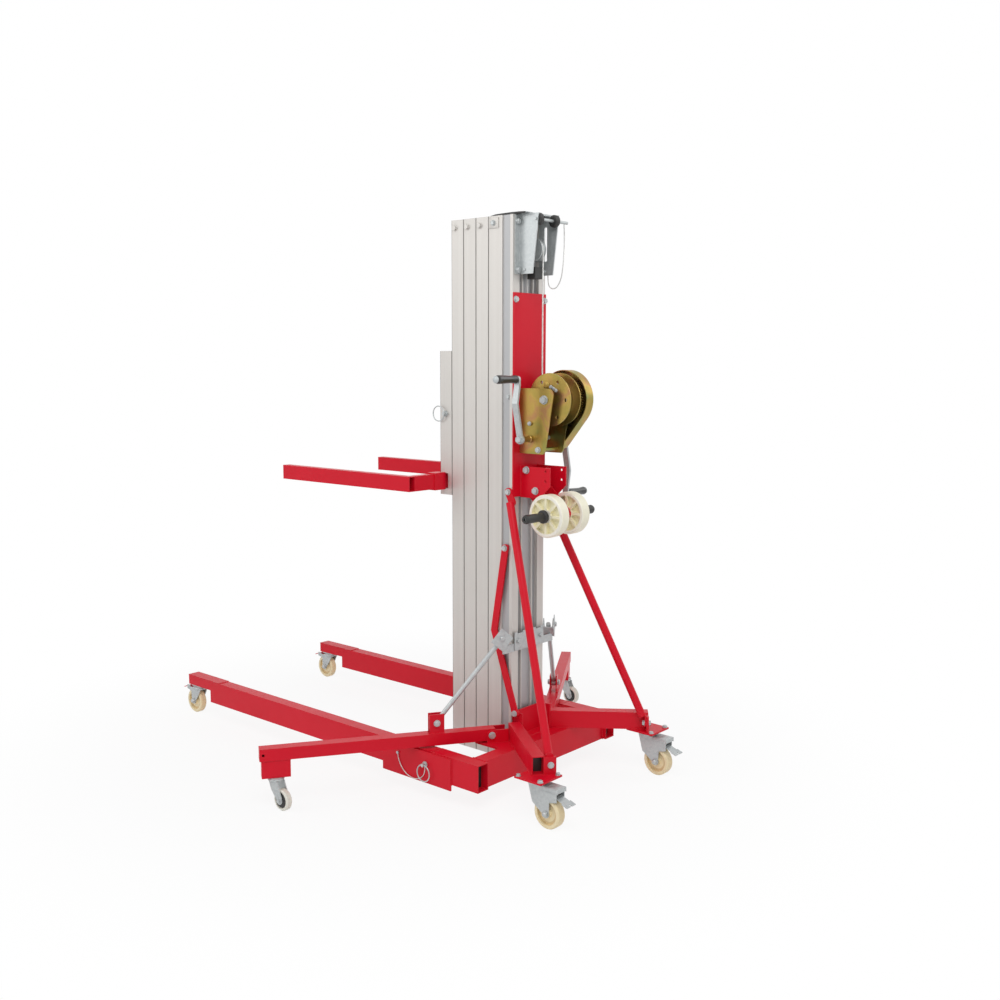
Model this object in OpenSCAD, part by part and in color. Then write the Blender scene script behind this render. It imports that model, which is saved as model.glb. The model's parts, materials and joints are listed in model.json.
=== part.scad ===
// Hand-winch material hoist: a telescoping mast on a wheeled base with load forks.
// Millimetres. +Z is up, the forks point to -Y, the winch and operator are at +Y, left is +X.
// The origin lies on the floor under the middle of the footprint.

/* [Mast] */
// Width of the mast extrusions
mast_w = 167; // [150:1:190]
// Depth of the fixed column, front to back
column_d = 105; // [98:1:125]
// Depth of each sliding section, front to back
section_d = 54.5; // [50:0.5:62]
// Running gap between neighbouring sections
section_gap = 1.5; // [1:0.1:3]
// Wall of the mast extrusions
mast_wall = 4; // [3:0.5:5]
// Height of the mast top above the floor
mast_top = 1900; // [1800:10:2100]
// Height of the mast foot above the floor
mast_foot = 72; // [70:1:100]

/* [Base] */
// Distance from the middle to the outer face of a side tube
base_half_w = 371; // [350:1:420]
// Width of the base tubes
tube_w = 50; // [44:1:60]
// Height of the base tubes
tube_h = 90; // [80:1:100]
// Height of the top of the base tubes above the floor
base_top = 156; // [150:1:175]
// Wall of the base tubes
tube_wall = 3; // [2:0.5:5]
// How far the side tubes reach behind the mast
side_tube_back = 106; // [96:1:140]
// How far the rear face of the cross tube lies behind the mast
cross_back = 92; // [85:1:95]

/* [Front legs] */
// Length of a front leg from its socket end to its front end
leg_l = 1388; // [1200:1:1500]
// Width of a front leg
leg_w = 46; // [40:1:48]
// Height of a front leg
leg_h = 86; // [80:1:86]
// How far the rear end of a leg lies in front of the mast's rear face
leg_start = 100; // [90:1:120]
// Length of the leg that lies in its socket
socket_l = 229; // [200:1:260]
// Wall of the socket cheeks
socket_wall = 5; // [4:0.5:6]
// Length of the raised front end that holds the caster
leg_notch_l = 148; // [146:1:180]
// Height of the leg left above the front caster
leg_notch_h = 38; // [34:1:44]

/* [Rear legs] */
// Width of a rear leg
rear_leg_w = 40; // [36:1:50]
// Height of a rear leg
rear_leg_h = 60; // [50:1:64]
// Distance from the middle to the axis of a rear caster
rear_caster_x = 304; // [280:1:330]
// Distance from the mast's rear face to the axis of a rear caster
rear_caster_y = 297; // [280:1:330]
// Side of the square caster plate
caster_plate = 106; // [96:1:116]

/* [Stabilisers] */
// Angle of a stabiliser forward of straight sideways
stab_angle = 33; // [28:1:38]
// Length of a stabiliser from its pivot to its end
stab_l = 765; // [650:1:820]
// Outer size of the square stabiliser tube
stab_tube = 40; // [36:1:44]
// Height of the stabiliser pivot above the floor
stab_pivot_z = 182; // [181:1:190]
// Distance from the stabiliser pivot to the brace lug
lug_reach = 186; // [170:1:200]
// Height of the lug bolt above the stabiliser pivot
lug_rise = 54; // [48:1:60]
// Diameter of a brace rod
rod_d = 16; // [14:1:18]

/* [Carriage and forks] */
// Height of the carriage bottom above the floor in this pose
carriage_z = 965; // [600:5:1200]
// Height of the carriage
carriage_h = 498; // [420:1:560]
// Distance between the outer faces of the forks
fork_span = 516; // [460:2:560]
// Length of a fork from its rear end to its tip
fork_l = 677; // [550:1:760]
// Width of a fork tube
fork_w = 30; // [26:1:40]
// Height of a fork tube
fork_h = 52; // [46:1:60]

/* [Winch] */
// Distance of the drum axis below the mast top
drum_drop = 597; // [580:1:620]
// Distance of the drum axis behind the mast
drum_y = 108; // [104:1:114]
// Radius of the drum flanges
flange_r = 87; // [80:1:90]
// Radius at the middle of the wound rope
wind_r = 50; // [46:1:56]
// Diameter of the hoist rope
rope_d = 5; // [4:0.5:6]
// Turns of rope on the drum
rope_turns = 4; // [3:1:4]
// Length of a crank arm between the shaft and grip axes
crank_l = 196; // [170:1:220]

/* [Wheels] */
// Diameter of a rear caster wheel
rear_wheel_d = 100; // [90:1:110]
// Diameter of a front caster wheel
front_wheel_d = 98; // [80:1:100]
// Diameter of a stabiliser caster wheel
side_wheel_d = 70; // [60:1:72]
// Diameter of a transport wheel
lift_wheel_d = 142; // [120:1:150]
// Distance of the transport wheel axle below the mast top
lift_axle_drop = 974; // [960:1:985]
// Distance of the transport wheel axle behind the mast
lift_axle_y = 135; // [130:1:145]

/* [Hidden] */
$fn = 48;

red = "#c4161f";
alloy = "#c9c5bd";
zinc = "#b9bec2";
gold = "#b39042";
cream = "#efe6c4";
ivory = "#f2eedb";
black = "#1d1d1f";
white = "#e6e6e4";

// Clearances
slip = 0.5;        // sliding flat faces
run = 0.05;        // radial clearance of a running shaft
skin = 0.3;        // curved faces of different pieces

// Mast profile
half_w = mast_w / 2;
mouth_half = 40;            // half width of the channel mouth
lip_t = 6;                  // thickness of the channel lips
channel_d = 21;             // depth of the channel behind the lips
rail_half = 62;             // half width of the rail flange
rail_t = 5;                 // thickness of the rail flange
rail_stem = 30;             // half distance between the rail stems
rail_play = 0.5;            // play between a rail and the lips
rail_reach = section_gap + lip_t + rail_play + rail_t;
pitch = section_d + section_gap;
recess_half = 50;           // half width of the recess in the column's rear face
recess_d = 14;              // depth of that recess
flute_d = 5;                // depth of the flutes in the column's sides
rib_x = 27;                 // place of the ribs in the recess
section_front = column_d + section_gap;
section_count = 3;
carriage_d = 54.5;
carriage_back = section_front + section_count * pitch;
section_lift = 2;           // sections hang this much above the foot plate
foot_plate_t = 8;

// Base
side_tube_x = base_half_w - tube_w / 2;
tube_z = base_top - tube_h;
cheek_drop = 20;            // how far the socket cheeks reach below the tubes
web_t = 6;
pin_d = 12;
leg_pin_y = leg_start + 22;
leg_pin_z = tube_z + 44;
gusset_t = 8;
foot_wall_t = 6;
foot_top = base_top + 87;

// Heights that hang from the mast top
plate_drop = 249;           // mast top to the winch plate's upper end
plate_h = 671;              // height of the winch plate
plate_z1 = mast_top - plate_drop;
plate_z0 = plate_z1 - plate_h;
drum_z = mast_top - drum_drop;
lift_axle_z = mast_top - lift_axle_drop;

// Rear legs
leg_gap = 5;                // gap between the mast and a rear leg's inner end
rear_leg_x0 = half_w + 14;
rear_leg_y0 = 24;
rear_run = [rear_caster_x - rear_leg_x0, rear_caster_y - rear_leg_y0];
rear_leg_l = norm(rear_run);
rear_leg_turn = atan2(rear_run[1], rear_run[0]);
plate_t = 6;
brace_lug_t = 8;            // thickness of a brace lug on a rear leg
brace_lug_w = 38;           // how far it stands out beside the leg
brace_lug_hole = rear_leg_w / 2 + 20;
brace_bolt_d = 10;
brace_tongue_t = 6;
brace_bolt_y = -12;         // bolt of a brace's upper tongue
brace_bolt_z = plate_z0 + 16;

// Casters: trail, width and mount height
caster_top_t = 4;           // thickness of a caster's fixed top plate
rear_trail = 46;
rear_mount_z = base_top - plate_t - caster_top_t - skin;
front_trail = 28;
front_mount_z = base_top - leg_notch_h - caster_top_t - skin;
side_trail = 34;
side_post_h = 58;
side_mount_z = stab_pivot_z - stab_tube / 2 - side_post_h - skin;
side_caster_s = stab_l - 52;
front_caster_y = leg_start + leg_l - 48;
rear_wheel_w = 32;
front_wheel_w = 26;
side_wheel_w = 22;
pedal_turn = 60;            // angle of the pedal pivot above the wheel axis
pedal_gap = 13;             // pedal pivot outside the wheel
pedal_lean = 20;            // slope of a pedal down from its pivot
pedal_top = 6;              // height of a pedal's face above its pivot
pedal_pin_d = 6;
rear_pedal_l = 54;
front_pedal_l = 30;
function pedal_y(r, trail) = trail + (r + pedal_gap) * cos(pedal_turn);
function pedal_z(r) = r + (r + pedal_gap) * sin(pedal_turn);
function pedal_reach(l) = l * cos(pedal_lean) + pedal_top * sin(pedal_lean);

// Footprint, so that the origin lies under its middle
front_tip = -front_caster_y - pedal_y(front_wheel_d / 2, front_trail) - pedal_reach(front_pedal_l);
rear_tip = rear_caster_y + pedal_y(rear_wheel_d / 2, rear_trail) + pedal_reach(rear_pedal_l);
mast_y = -(front_tip + rear_tip) / 2;

// Stabiliser linkage: its vertical plane passes link_off from the mast's rear middle
link_off = 62;
pivot_s = 150;              // distance of the pivot along that plane
block_s = 110;              // distance of the rod block along that plane
block_rise = 320;           // height of the rod block above the pivot
pivot_d = 12;
pivot_xy = [
    link_off * sin(stab_angle) + pivot_s * cos(stab_angle),
    link_off * cos(stab_angle) - pivot_s * sin(stab_angle)
];
rod_run = [block_s - pivot_s - lug_reach, block_rise - lug_rise];
rod_turn = atan2(rod_run[1], rod_run[0]);
rod_tail = 15;
lug_t = 4;
lug_gap = rod_d / 2 + 1.5;
ear_t = 6;
lug_bolt_d = 10;

// Carriage
fork_z = carriage_z + 22;
fork_back = carriage_back + 35;
carriage_pin_z = carriage_z + 282;
carriage_pin_y = carriage_back + 28;
sleeve_t = 4;
sleeve_l = 52;

// Winch
near_x = 47;                // inner face of the left side plate
far_x = -45;                // inner face of the right side plate
frame_t = 4;
frame_low = 178;            // winch frame's foot below the drum axis
shaft_d = 16;
lay_d = 14;
tie = [drum_y - 24, drum_z - 164];
tie_d = 12;
drum_gear = [60, 2.5];      // teeth, module
lay_pinion = [18, 2.5];
lay_wheel = [44, 1.75];
crank_pinion = [14, 1.75];
function gear_r(g) = g[0] * g[1] / 2;
lay_y = 50;
lay_z = drum_z - sqrt(pow(gear_r(drum_gear) + gear_r(lay_pinion), 2) - pow(drum_y - lay_y, 2));
crank_y = lay_y;
crank_z = lay_z - gear_r(lay_wheel) - gear_r(crank_pinion);
mesh_turn = atan2(lay_z - drum_z, lay_y - drum_y);
drum_x0 = -28;
drum_x1 = 20;
flange_t = 4;
gear_x0 = -63;
gear_x1 = -53;
stage_x0 = 26;
stage_x1 = 36;
hub_r = 16;
guard_x0 = -86;
guard_t = 3;
guard_r = flange_r + 10;
guard_tail_r = 60;
plate_w_t = 5;
crank_x = 102;              // middle of the left crank hub
crank_far_x = -128;         // middle of the right crank hub
crank_bow = 26;             // how far a crank arm bows outwards at its bend
crank_set = 16;             // how far its grip end stands out from its hub
crank_t = 8;
grip_l = 100;
grip_r = 14;
grip_pin_d = 10;

// Lower bracket with the transport wheels
ear_x = 40;
ear_w_t = 5;
lift_axle_d = 18;
lift_wheel_x = 55;
lift_wheel_w = 40;
grip_x0 = 84;
grip_x1 = 180;

// Head of the mast
head_x = 50;
head_t = 4;
top_axle_y = 72;
top_axle_z = mast_top - 18;
top_axle_d = 10;
roller_r = 20;
roller_w = 18;
sheave_y = 25;
sheave_z = mast_top - 110;
sheave_r = drum_y - wind_r - sheave_y;
sheave_w = 14;
sheave_pin_d = 12;
head_low = mast_top - 190;
bumper_y = 24;
bumper_z = head_low + 14;
bumper_pin_d = 10;

// Wires
rope_lead = 1.15;           // advance of each turn of rope, in rope diameters
wire_d = 3;
loop_d = 4;
rivet_d = 10;
lanyard_x = base_half_w + socket_wall + 3;

// Stow bar: its ends and bend in (Y, Z)
stow_points = [[-24, base_top + 650], [-72, base_top + 362], [22, base_top + 88]];

// Shapes that repeat
module in_frame() {
    translate([0, mast_y, 0]) children();
}

// Extrudes an outline drawn in (Y, Z) along +X from x0
module along_x(x0, l) {
    translate([x0, 0, 0]) rotate([90, 0, 90]) linear_extrude(l) children();
}

// Cylinder along +X
module rod_x(x0, x1, y, z, d) {
    translate([x0, y, z]) rotate([0, 90, 0]) cylinder(d = d, h = x1 - x0);
}

// Hexagon bolt head with its washer, facing +X from x0
module bolt_x(x0, y, z, d, side = 1) {
    translate([x0, y, z]) rotate([0, side * 90, 0]) bolt_z(d);
}

// Hexagon bolt head facing +Y from y0
module bolt_y(x, y0, z, d) {
    translate([x, y0, z]) rotate([-90, 0, 0]) bolt_z(d);
}

// Hexagon bolt head facing +Z
module bolt_z(d) {
    cylinder(d = 2.1 * d, h = 0.2 * d);
    cylinder(d = 1.75 * d, h = 0.8 * d, $fn = 6);
}

// Straight-sided outline between two circles, a hair inside their tangents so that it crosses them
module link_web(p, r, q, s) {
    inset = 0.02;
    turn = atan2(q[1] - p[1], q[0] - p[0]);
    lean = acos((r - s) / norm(q - p));
    up = [cos(turn + lean), sin(turn + lean)];
    down = [cos(turn - lean), sin(turn - lean)];
    polygon([
        p + (r - inset) * up, q + (s - inset) * up, q + (s - inset) * down, p + (r - inset) * down
    ]);
}

// Solid of that outline along +X from x0, as two discs and the web between them
module drop_x(x0, l, p, r, q, s) {
    rod_x(x0, x0 + l, p[0], p[1], 2 * r);
    rod_x(x0, x0 + l, q[0], q[1], 2 * s);
    along_x(x0, l) link_web(p, r, q, s);
}

// Spur gear outline with one tooth pointing along +X
module gear_outline(g) {
    n = g[0];
    m = g[1];
    r = gear_r(g);
    step = 360 / n;
    polygon([
        for (i = [0 : n - 1])
            for (c = [[-0.31, -1.2], [-0.12, 0.85], [0.12, 0.85], [0.31, -1.2]])
                (r + c[1] * m) * [cos((i + c[0]) * step), sin((i + c[0]) * step)]
    ]);
}

// Rectangular tube along +X, open at both ends
module box_tube(l, w, h, t) {
    difference() {
        translate([0, -w / 2, 0]) cube([l, w, h]);
        translate([-1, -w / 2 + t, t]) cube([l + 2, w - 2 * t, h - 2 * t]);
    }
}

// Tube swept along points, as one closed surface
function unit(v) = v / norm(v);
function tangent(p, i) = unit(p[min(i + 1, len(p) - 1)] - p[max(i - 1, 0)]);
function carry(u, t) = unit(u - (u * t) * t);
function frames(p, u, i = 0) =
    i == len(p) ? [] : let (w = carry(u, tangent(p, i))) concat([w], frames(p, w, i + 1));
module swept(p, d, start, sides) {
    n = len(p);
    u = frames(p, start);
    ring = [
        for (i = [0 : n - 1])
            let (v = cross(tangent(p, i), u[i]))
                for (k = [0 : sides - 1])
                    p[i] + d / 2 * (cos(360 * k / sides) * u[i] + sin(360 * k / sides) * v)
    ];
    side_faces = [
        for (i = [0 : n - 2])
            for (k = [0 : sides - 1])
                let (a = i * sides + k, b = i * sides + (k + 1) % sides)
                    each [[a, a + sides, b], [b, a + sides, b + sides]]
    ];
    last = (n - 1) * sides;
    cap_a = [for (k = [1 : sides - 2]) [0, k, k + 1]];
    cap_b = [for (k = [1 : sides - 2]) [last, last + k + 1, last + k]];
    polyhedron(ring, concat(side_faces, cap_a, cap_b));
}

// Smooth points through a few chosen ones
function spline(p, steps) = [
    for (i = [0 : len(p) - 2])
        let (
            a = p[max(i - 1, 0)], b = p[i], c = p[i + 1], d = p[min(i + 2, len(p) - 1)],
            end = i == len(p) - 2 ? steps : steps - 1
        )
            for (k = [0 : end])
                let (t = k / steps)
                    0.5 * (2 * b + (c - a) * t + (2 * a - 5 * b + 4 * c - d) * t * t
                        + (3 * b - a - 3 * c + d) * t * t * t)
];

// Mirrors a left-hand piece to the right
module handed(side) {
    mirror([side < 0 ? 1 : 0, 0, 0]) children();
}

// Mast: one sliding section's outline, rear face at y = 0, front channel at -Y
module rail_outline(back) {
    for (s = [-1, 1])
        translate([s * rail_stem - mast_wall / 2, -back]) square([mast_wall, back + rail_reach]);
    translate([-rail_half, rail_reach - rail_t]) square([2 * rail_half, rail_t]);
}

module section_outline() {
    web_y = -section_d + lip_t + channel_d;
    difference() {
        translate([-half_w, -section_d]) square([mast_w, section_d]);
        translate([-mouth_half, -section_d - 1]) square([2 * mouth_half, lip_t + 2]);
        translate([-half_w + mast_wall, -section_d + lip_t])
            square([mast_w - 2 * mast_wall, channel_d]);
        for (s = [-1, 1])
            translate([s * (rail_stem + half_w - mast_wall / 2) / 2, web_y / 2])
                square([half_w - rail_stem - 1.5 * mast_wall, -web_y - 2 * mast_wall], center = true);
        translate([-rail_stem + mast_wall / 2, web_y + mast_wall])
            square([2 * rail_stem - mast_wall, -web_y - 2 * mast_wall]);
    }
    rail_outline(-web_y - mast_wall);
}

// Fixed column: front channel, two hollow chambers, side flutes and a recessed rear face
module column_outline() {
    web_y = -column_d + lip_t + channel_d;
    flute_y0 = -46;
    flute_y1 = -12;
    chamber_y1 = -recess_d - mast_wall;
    rib_w = 4;
    rib_h = 9;
    core = 20;
    difference() {
        translate([-half_w, -column_d]) square([mast_w, column_d]);
        translate([-mouth_half, -column_d - 1]) square([2 * mouth_half, lip_t + 2]);
        translate([-half_w + mast_wall, -column_d + lip_t])
            square([mast_w - 2 * mast_wall, channel_d]);
        for (s = [-1, 1]) {
            translate([s * half_w, (flute_y0 + flute_y1) / 2])
                square([2 * flute_d, flute_y1 - flute_y0], center = true);
            translate([s * (core + half_w - flute_d) / 2, (web_y + chamber_y1 + mast_wall) / 2])
                square([
                    half_w - flute_d - core - 2 * mast_wall, chamber_y1 - web_y - mast_wall
                ], center = true);
        }
        translate([-core + mast_wall, web_y + mast_wall])
            square([2 * core - 2 * mast_wall, chamber_y1 - web_y - mast_wall]);
        translate([-recess_half, -recess_d]) square([2 * recess_half, recess_d + 1]);
    }
    for (s = [-1, 1])
        translate([s * rib_x - rib_w / 2, -recess_d]) square([rib_w, rib_h]);
}

module base_column() {
    rope_hole_z = sheave_z - 192;
    rope_hole_h = 34;
    color(alloy) difference() {
        translate([0, 0, mast_foot]) linear_extrude(mast_top - mast_foot) column_outline();
        translate([-rope_d, -recess_d - mast_wall - 1, rope_hole_z])
            cube([2 * rope_d, mast_wall + 2, rope_hole_h]);
    }
}

module mast_section(k) {
    bolt_d = 10;
    bolt_drop = 26;
    y = -section_front - (section_count - k) * pitch;
    color(alloy) translate([0, y, 0]) {
        translate([0, 0, mast_foot + section_lift])
            linear_extrude(mast_top - mast_foot - section_lift) section_outline();
        for (s = [-1, 1])
            bolt_x(s * half_w, -section_d + 16, mast_top - bolt_drop, bolt_d, s);
    }
}

// Carriage: a short hollow slide with a notch for the fork cross tube
module carriage() {
    notch_h = fork_h + 2 * slip;
    y = -carriage_back;
    color(alloy) translate([0, y, 0]) difference() {
        translate([0, 0, carriage_z]) linear_extrude(carriage_h) {
            difference() {
                translate([-half_w, -carriage_d]) square([mast_w, carriage_d]);
                translate([-half_w + mast_wall, -carriage_d + mast_wall])
                    square([mast_w - 2 * mast_wall, carriage_d - 2 * mast_wall]);
            }
            rail_outline(mast_wall);
        }
        translate([-half_w - 1, -carriage_d - 1, fork_z - slip])
            cube([mast_w + 2, carriage_d + 1 - mast_wall - 15, notch_h]);
        rod_x(0, half_w + 1, carriage_back - carriage_pin_y, carriage_pin_z, pin_d + 2 * run);
    }
}

module fork_frame() {
    arm_x = fork_span / 2 - fork_w;
    sleeve_x = half_w + slip;
    cross_y = -fork_back - fork_w;
    color(red) {
        for (s = [-1, 1])
            translate([s * (arm_x + fork_w / 2), -fork_back - fork_l, fork_z]) rotate([0, 0, 90]) {
                box_tube(fork_l, fork_w, fork_h, tube_wall);
                translate([0, -fork_w / 2, 0]) cube([tube_wall, fork_w, fork_h]);
            }
        difference() {
            union() {
                translate([-arm_x, cross_y, fork_z]) cube([2 * arm_x, fork_w, fork_h]);
                for (s = [-1, 1])
                    translate([s * (sleeve_x + sleeve_l / 2), cross_y + fork_w / 2, fork_z + fork_h / 2])
                        cube([sleeve_l, fork_w + 2 * sleeve_t, fork_h + 2 * sleeve_t], center = true);
            }
            translate([-arm_x - 1, cross_y + tube_wall, fork_z + tube_wall])
                cube([2 * arm_x + 2, fork_w - 2 * tube_wall, fork_h - 2 * tube_wall]);
        }
    }
}

// Split ring hung on a pull pin, in the (Y, Z) plane
module pull_ring(x, y, z, r, d) {
    translate([x, y, z]) rotate([0, 90, 0]) rotate_extrude() translate([r, 0]) circle(d = d);
}

// Pull pin along +X from x0 to x1 with a collar against a wall and a ring through its outer end
module pull_pin(x0, wall_x, x1, ring_r, ring_turn) {
    ring_d = 4;
    collar_d = pin_d + 8;
    collar_t = 4;
    eye_x = x1 - 6;
    difference() {
        union() {
            rod_x(x0, x1, 0, 0, pin_d);
            rod_x(wall_x, wall_x + collar_t, 0, 0, collar_d);
        }
        rotate([ring_turn, 0, 0]) translate([eye_x, 0, 0])
            cylinder(d = ring_d + 2, h = 2 * collar_d, center = true);
    }
    rotate([ring_turn, 0, 0]) pull_ring(eye_x, -ring_r, 0, ring_r, ring_d);
}

module carriage_pin() {
    color(zinc) translate([0, -carriage_pin_y, carriage_pin_z])
        pull_pin(half_w - 30, half_w + slip, half_w + 16, 26, 0);
}

// Base: side tube with its open leg socket
module base_tube(side) {
    socket_y0 = -leg_start - socket_l + 2;
    socket_y1 = -leg_start + 91;
    cheek_h = tube_h + cheek_drop - 4;
    inner_x = base_half_w - tube_w;
    cheek_x0 = inner_x - socket_wall;
    cheek_x1 = base_half_w + socket_wall;
    hole_d = 8;
    color(red) handed(side) difference() {
        union() {
            translate([side_tube_x, -leg_start + 2, tube_z]) rotate([0, 0, 90])
                box_tube(side_tube_back + leg_start - 2, tube_w, tube_h, tube_wall);
            for (x = [cheek_x0, base_half_w])
                translate([x, socket_y0, tube_z - cheek_drop])
                    cube([socket_wall, socket_y1 - socket_y0, cheek_h]);
            translate([inner_x - 1, socket_y0, base_top - leg_h - web_t])
                cube([tube_w + 2, socket_l - 2, web_t]);
        }
        rod_x(cheek_x0 - 1, cheek_x1 + 1, -leg_pin_y, leg_pin_z, pin_d + 2 * run);
        rod_x(cheek_x0 - 1, cheek_x1 + 1, -leg_start - 117, tube_z - 9, hole_d);
    }
}

// Cross tube with the mast foot, the gusset plates and the stabiliser ears
module base_cross_tube() {
    inner_x = base_half_w - tube_w;
    cross_y0 = cross_back - tube_w;
    foot_half = half_w - flute_d;
    gusset_x0 = half_w + leg_gap;
    gusset_x1 = gusset_x0 + 108;
    gusset_y0 = pivot_xy[1] - 34;
    color(red) {
        translate([-inner_x, cross_back - tube_w / 2, tube_z])
            box_tube(2 * inner_x, tube_w, tube_h, tube_wall);
        difference() {
            translate([-foot_half, 0, tube_z]) cube([2 * foot_half, cross_y0, foot_top - tube_z]);
            translate([-foot_half + foot_wall_t, foot_wall_t, base_top + 1])
                cube([2 * foot_half - 2 * foot_wall_t, cross_y0, foot_top]);
        }
        translate([-foot_half, -column_d, mast_foot - foot_plate_t])
            cube([2 * foot_half, column_d, foot_plate_t]);
        for (side = [1, -1]) handed(side) {
            translate([gusset_x0, gusset_y0, base_top - gusset_t])
                cube([gusset_x1 - gusset_x0, cross_y0 - gusset_y0 + 1, gusset_t]);
            stab_ears();
        }
    }
}

// Places children in a stabiliser's plane, with +X along the stabiliser and the pivot at the origin
module on_link() {
    translate([pivot_xy[0], pivot_xy[1], stab_pivot_z]) rotate([0, 0, -stab_angle]) children();
}

// Two ears that carry a stabiliser's pivot pin
module stab_ears() {
    back = 58;
    nose_r = 17;
    drop = stab_pivot_z - base_top;
    on_link() for (s = [-1, 1])
        translate([0, s * (stab_tube / 2 + slip + ear_t / 2), 0]) rotate([90, 0, 0]) difference() {
            translate([0, 0, -ear_t / 2]) linear_extrude(ear_t) {
                circle(nose_r);
                translate([-back, -drop]) square([back + nose_r, drop]);
                translate([-back, -drop]) square([back, drop + nose_r]);
            }
            cylinder(d = pivot_d, h = 2 * ear_t, center = true);
        }
}

// Rear leg: a splayed tube on the cross tube with its caster plate and brace lug
module rear_leg(side) {
    lug_h = rear_leg_h - 4;
    color(red) handed(side) {
        translate([rear_leg_x0, rear_leg_y0, base_top]) rotate([0, 0, rear_leg_turn]) {
            box_tube(rear_leg_l, rear_leg_w, rear_leg_h, tube_wall);
            difference() {
                translate([rear_leg_l - brace_lug_t, rear_leg_w / 2 - 1, -1])
                    cube([brace_lug_t, brace_lug_w + 1, lug_h + 1]);
                rod_x(
                    rear_leg_l - brace_lug_t - 1, rear_leg_l + 1, brace_lug_hole, rear_leg_h / 2, brace_bolt_d
                );
            }
        }
        translate([rear_caster_x, rear_caster_y, base_top - plate_t / 2])
            cube([caster_plate, caster_plate, plate_t], center = true);
    }
}

// Brace tube from the winch plate down to a rear leg's lug, with a flat tongue at each end
module brace_tube(side) {
    tube_d = 27;
    tongue_r = 14;
    tongue_l = 26;
    top_x = half_w + slip;
    top = [half_w + tube_d / 2 + 1.5, 4, plate_z0 - 18];
    reach = rear_leg_l - brace_lug_t - brace_tongue_t / 2;
    foot = [
        rear_leg_x0 + reach * cos(rear_leg_turn) - brace_lug_hole * sin(rear_leg_turn),
        rear_leg_y0 + reach * sin(rear_leg_turn) + brace_lug_hole * cos(rear_leg_turn),
        base_top + rear_leg_h / 2
    ];
    v = foot - top;
    l = norm(v);
    rise = -tongue_l * v / l;
    lean = [rise[1] * cos(rear_leg_turn) - rise[0] * sin(rear_leg_turn), rise[2]];
    color(red) handed(side) difference() {
        union() {
            translate(top) rotate([0, acos(v[2] / l), atan2(v[1], v[0])])
                cylinder(d = tube_d, h = l - tongue_l);
            drop_x(
                top_x, brace_tongue_t, [brace_bolt_y, brace_bolt_z], tongue_r, [top[1], top[2]], tube_d / 2
            );
            translate(foot) rotate([0, 0, rear_leg_turn])
                drop_x(-brace_tongue_t / 2, brace_tongue_t, [0, 0], tongue_r, lean, tube_d / 2);
        }
        rod_x(top_x - 1, top_x + brace_tongue_t + 20, brace_bolt_y, brace_bolt_z, brace_bolt_d);
        translate(foot) rotate([0, 0, rear_leg_turn])
            rod_x(-brace_tongue_t, brace_tongue_t, 0, 0, brace_bolt_d);
    }
}

// Bent flat bar on the left of the mast
module stow_bar() {
    bar_w = 26;
    bar_t = 6;
    gap = 3;
    hole_d = 10;
    spacer_d = 22;
    ends = [stow_points[0], stow_points[2]];
    color(red) difference() {
        along_x(half_w + gap, bar_t) {
            for (p = stow_points) translate(p) circle(bar_w / 2);
            for (i = [0, 1]) link_web(stow_points[i], bar_w / 2, stow_points[i + 1], bar_w / 2);
        }
        for (p = ends) rod_x(half_w, half_w + gap + bar_t + 1, p[0], p[1], hole_d);
    }
    color(red) for (p = ends) difference() {
        rod_x(half_w - flute_d, half_w + gap, p[0], p[1], spacer_d);
        rod_x(half_w - flute_d - 1, half_w + gap + 1, p[0], p[1], hole_d);
    }
}

// Front leg: tube with a raised front end over its caster
module front_leg(side) {
    front_y = -leg_start - leg_l;
    notch_z = leg_h - leg_notch_h;
    cover_l = leg_notch_l + 60;
    cover_t = 2;
    color(red) handed(side) difference() {
        translate([side_tube_x, front_y, base_top - leg_h]) rotate([0, 0, 90]) {
            difference() {
                box_tube(leg_l, leg_w, leg_h, tube_wall);
                translate([-1, -leg_w / 2 - 1, -1]) cube([leg_notch_l + 1, leg_w + 2, notch_z + 1]);
            }
            translate([0, -leg_w / 2, notch_z]) cube([leg_notch_l, leg_w, tube_wall]);
            translate([leg_notch_l, -leg_w / 2, 0]) cube([tube_wall, leg_w, leg_h - tube_wall]);
            translate([0, -leg_w / 2, notch_z]) cube([tube_wall, leg_w, leg_notch_h]);
            translate([0, -leg_w / 2 - 1, leg_h - 1]) cube([cover_l, leg_w + 2, cover_t + 1]);
        }
        rod_x(0, base_half_w, -leg_pin_y, leg_pin_z, pin_d + 2 * run);
    }
}

module leg_pin(side) {
    inner_x = base_half_w - tube_w;
    outer_x = base_half_w + socket_wall;
    color(zinc) handed(side) translate([0, -leg_pin_y, leg_pin_z])
        pull_pin(inner_x - socket_wall - 4, outer_x + slip, outer_x + 17, 28, 90);
}

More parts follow.
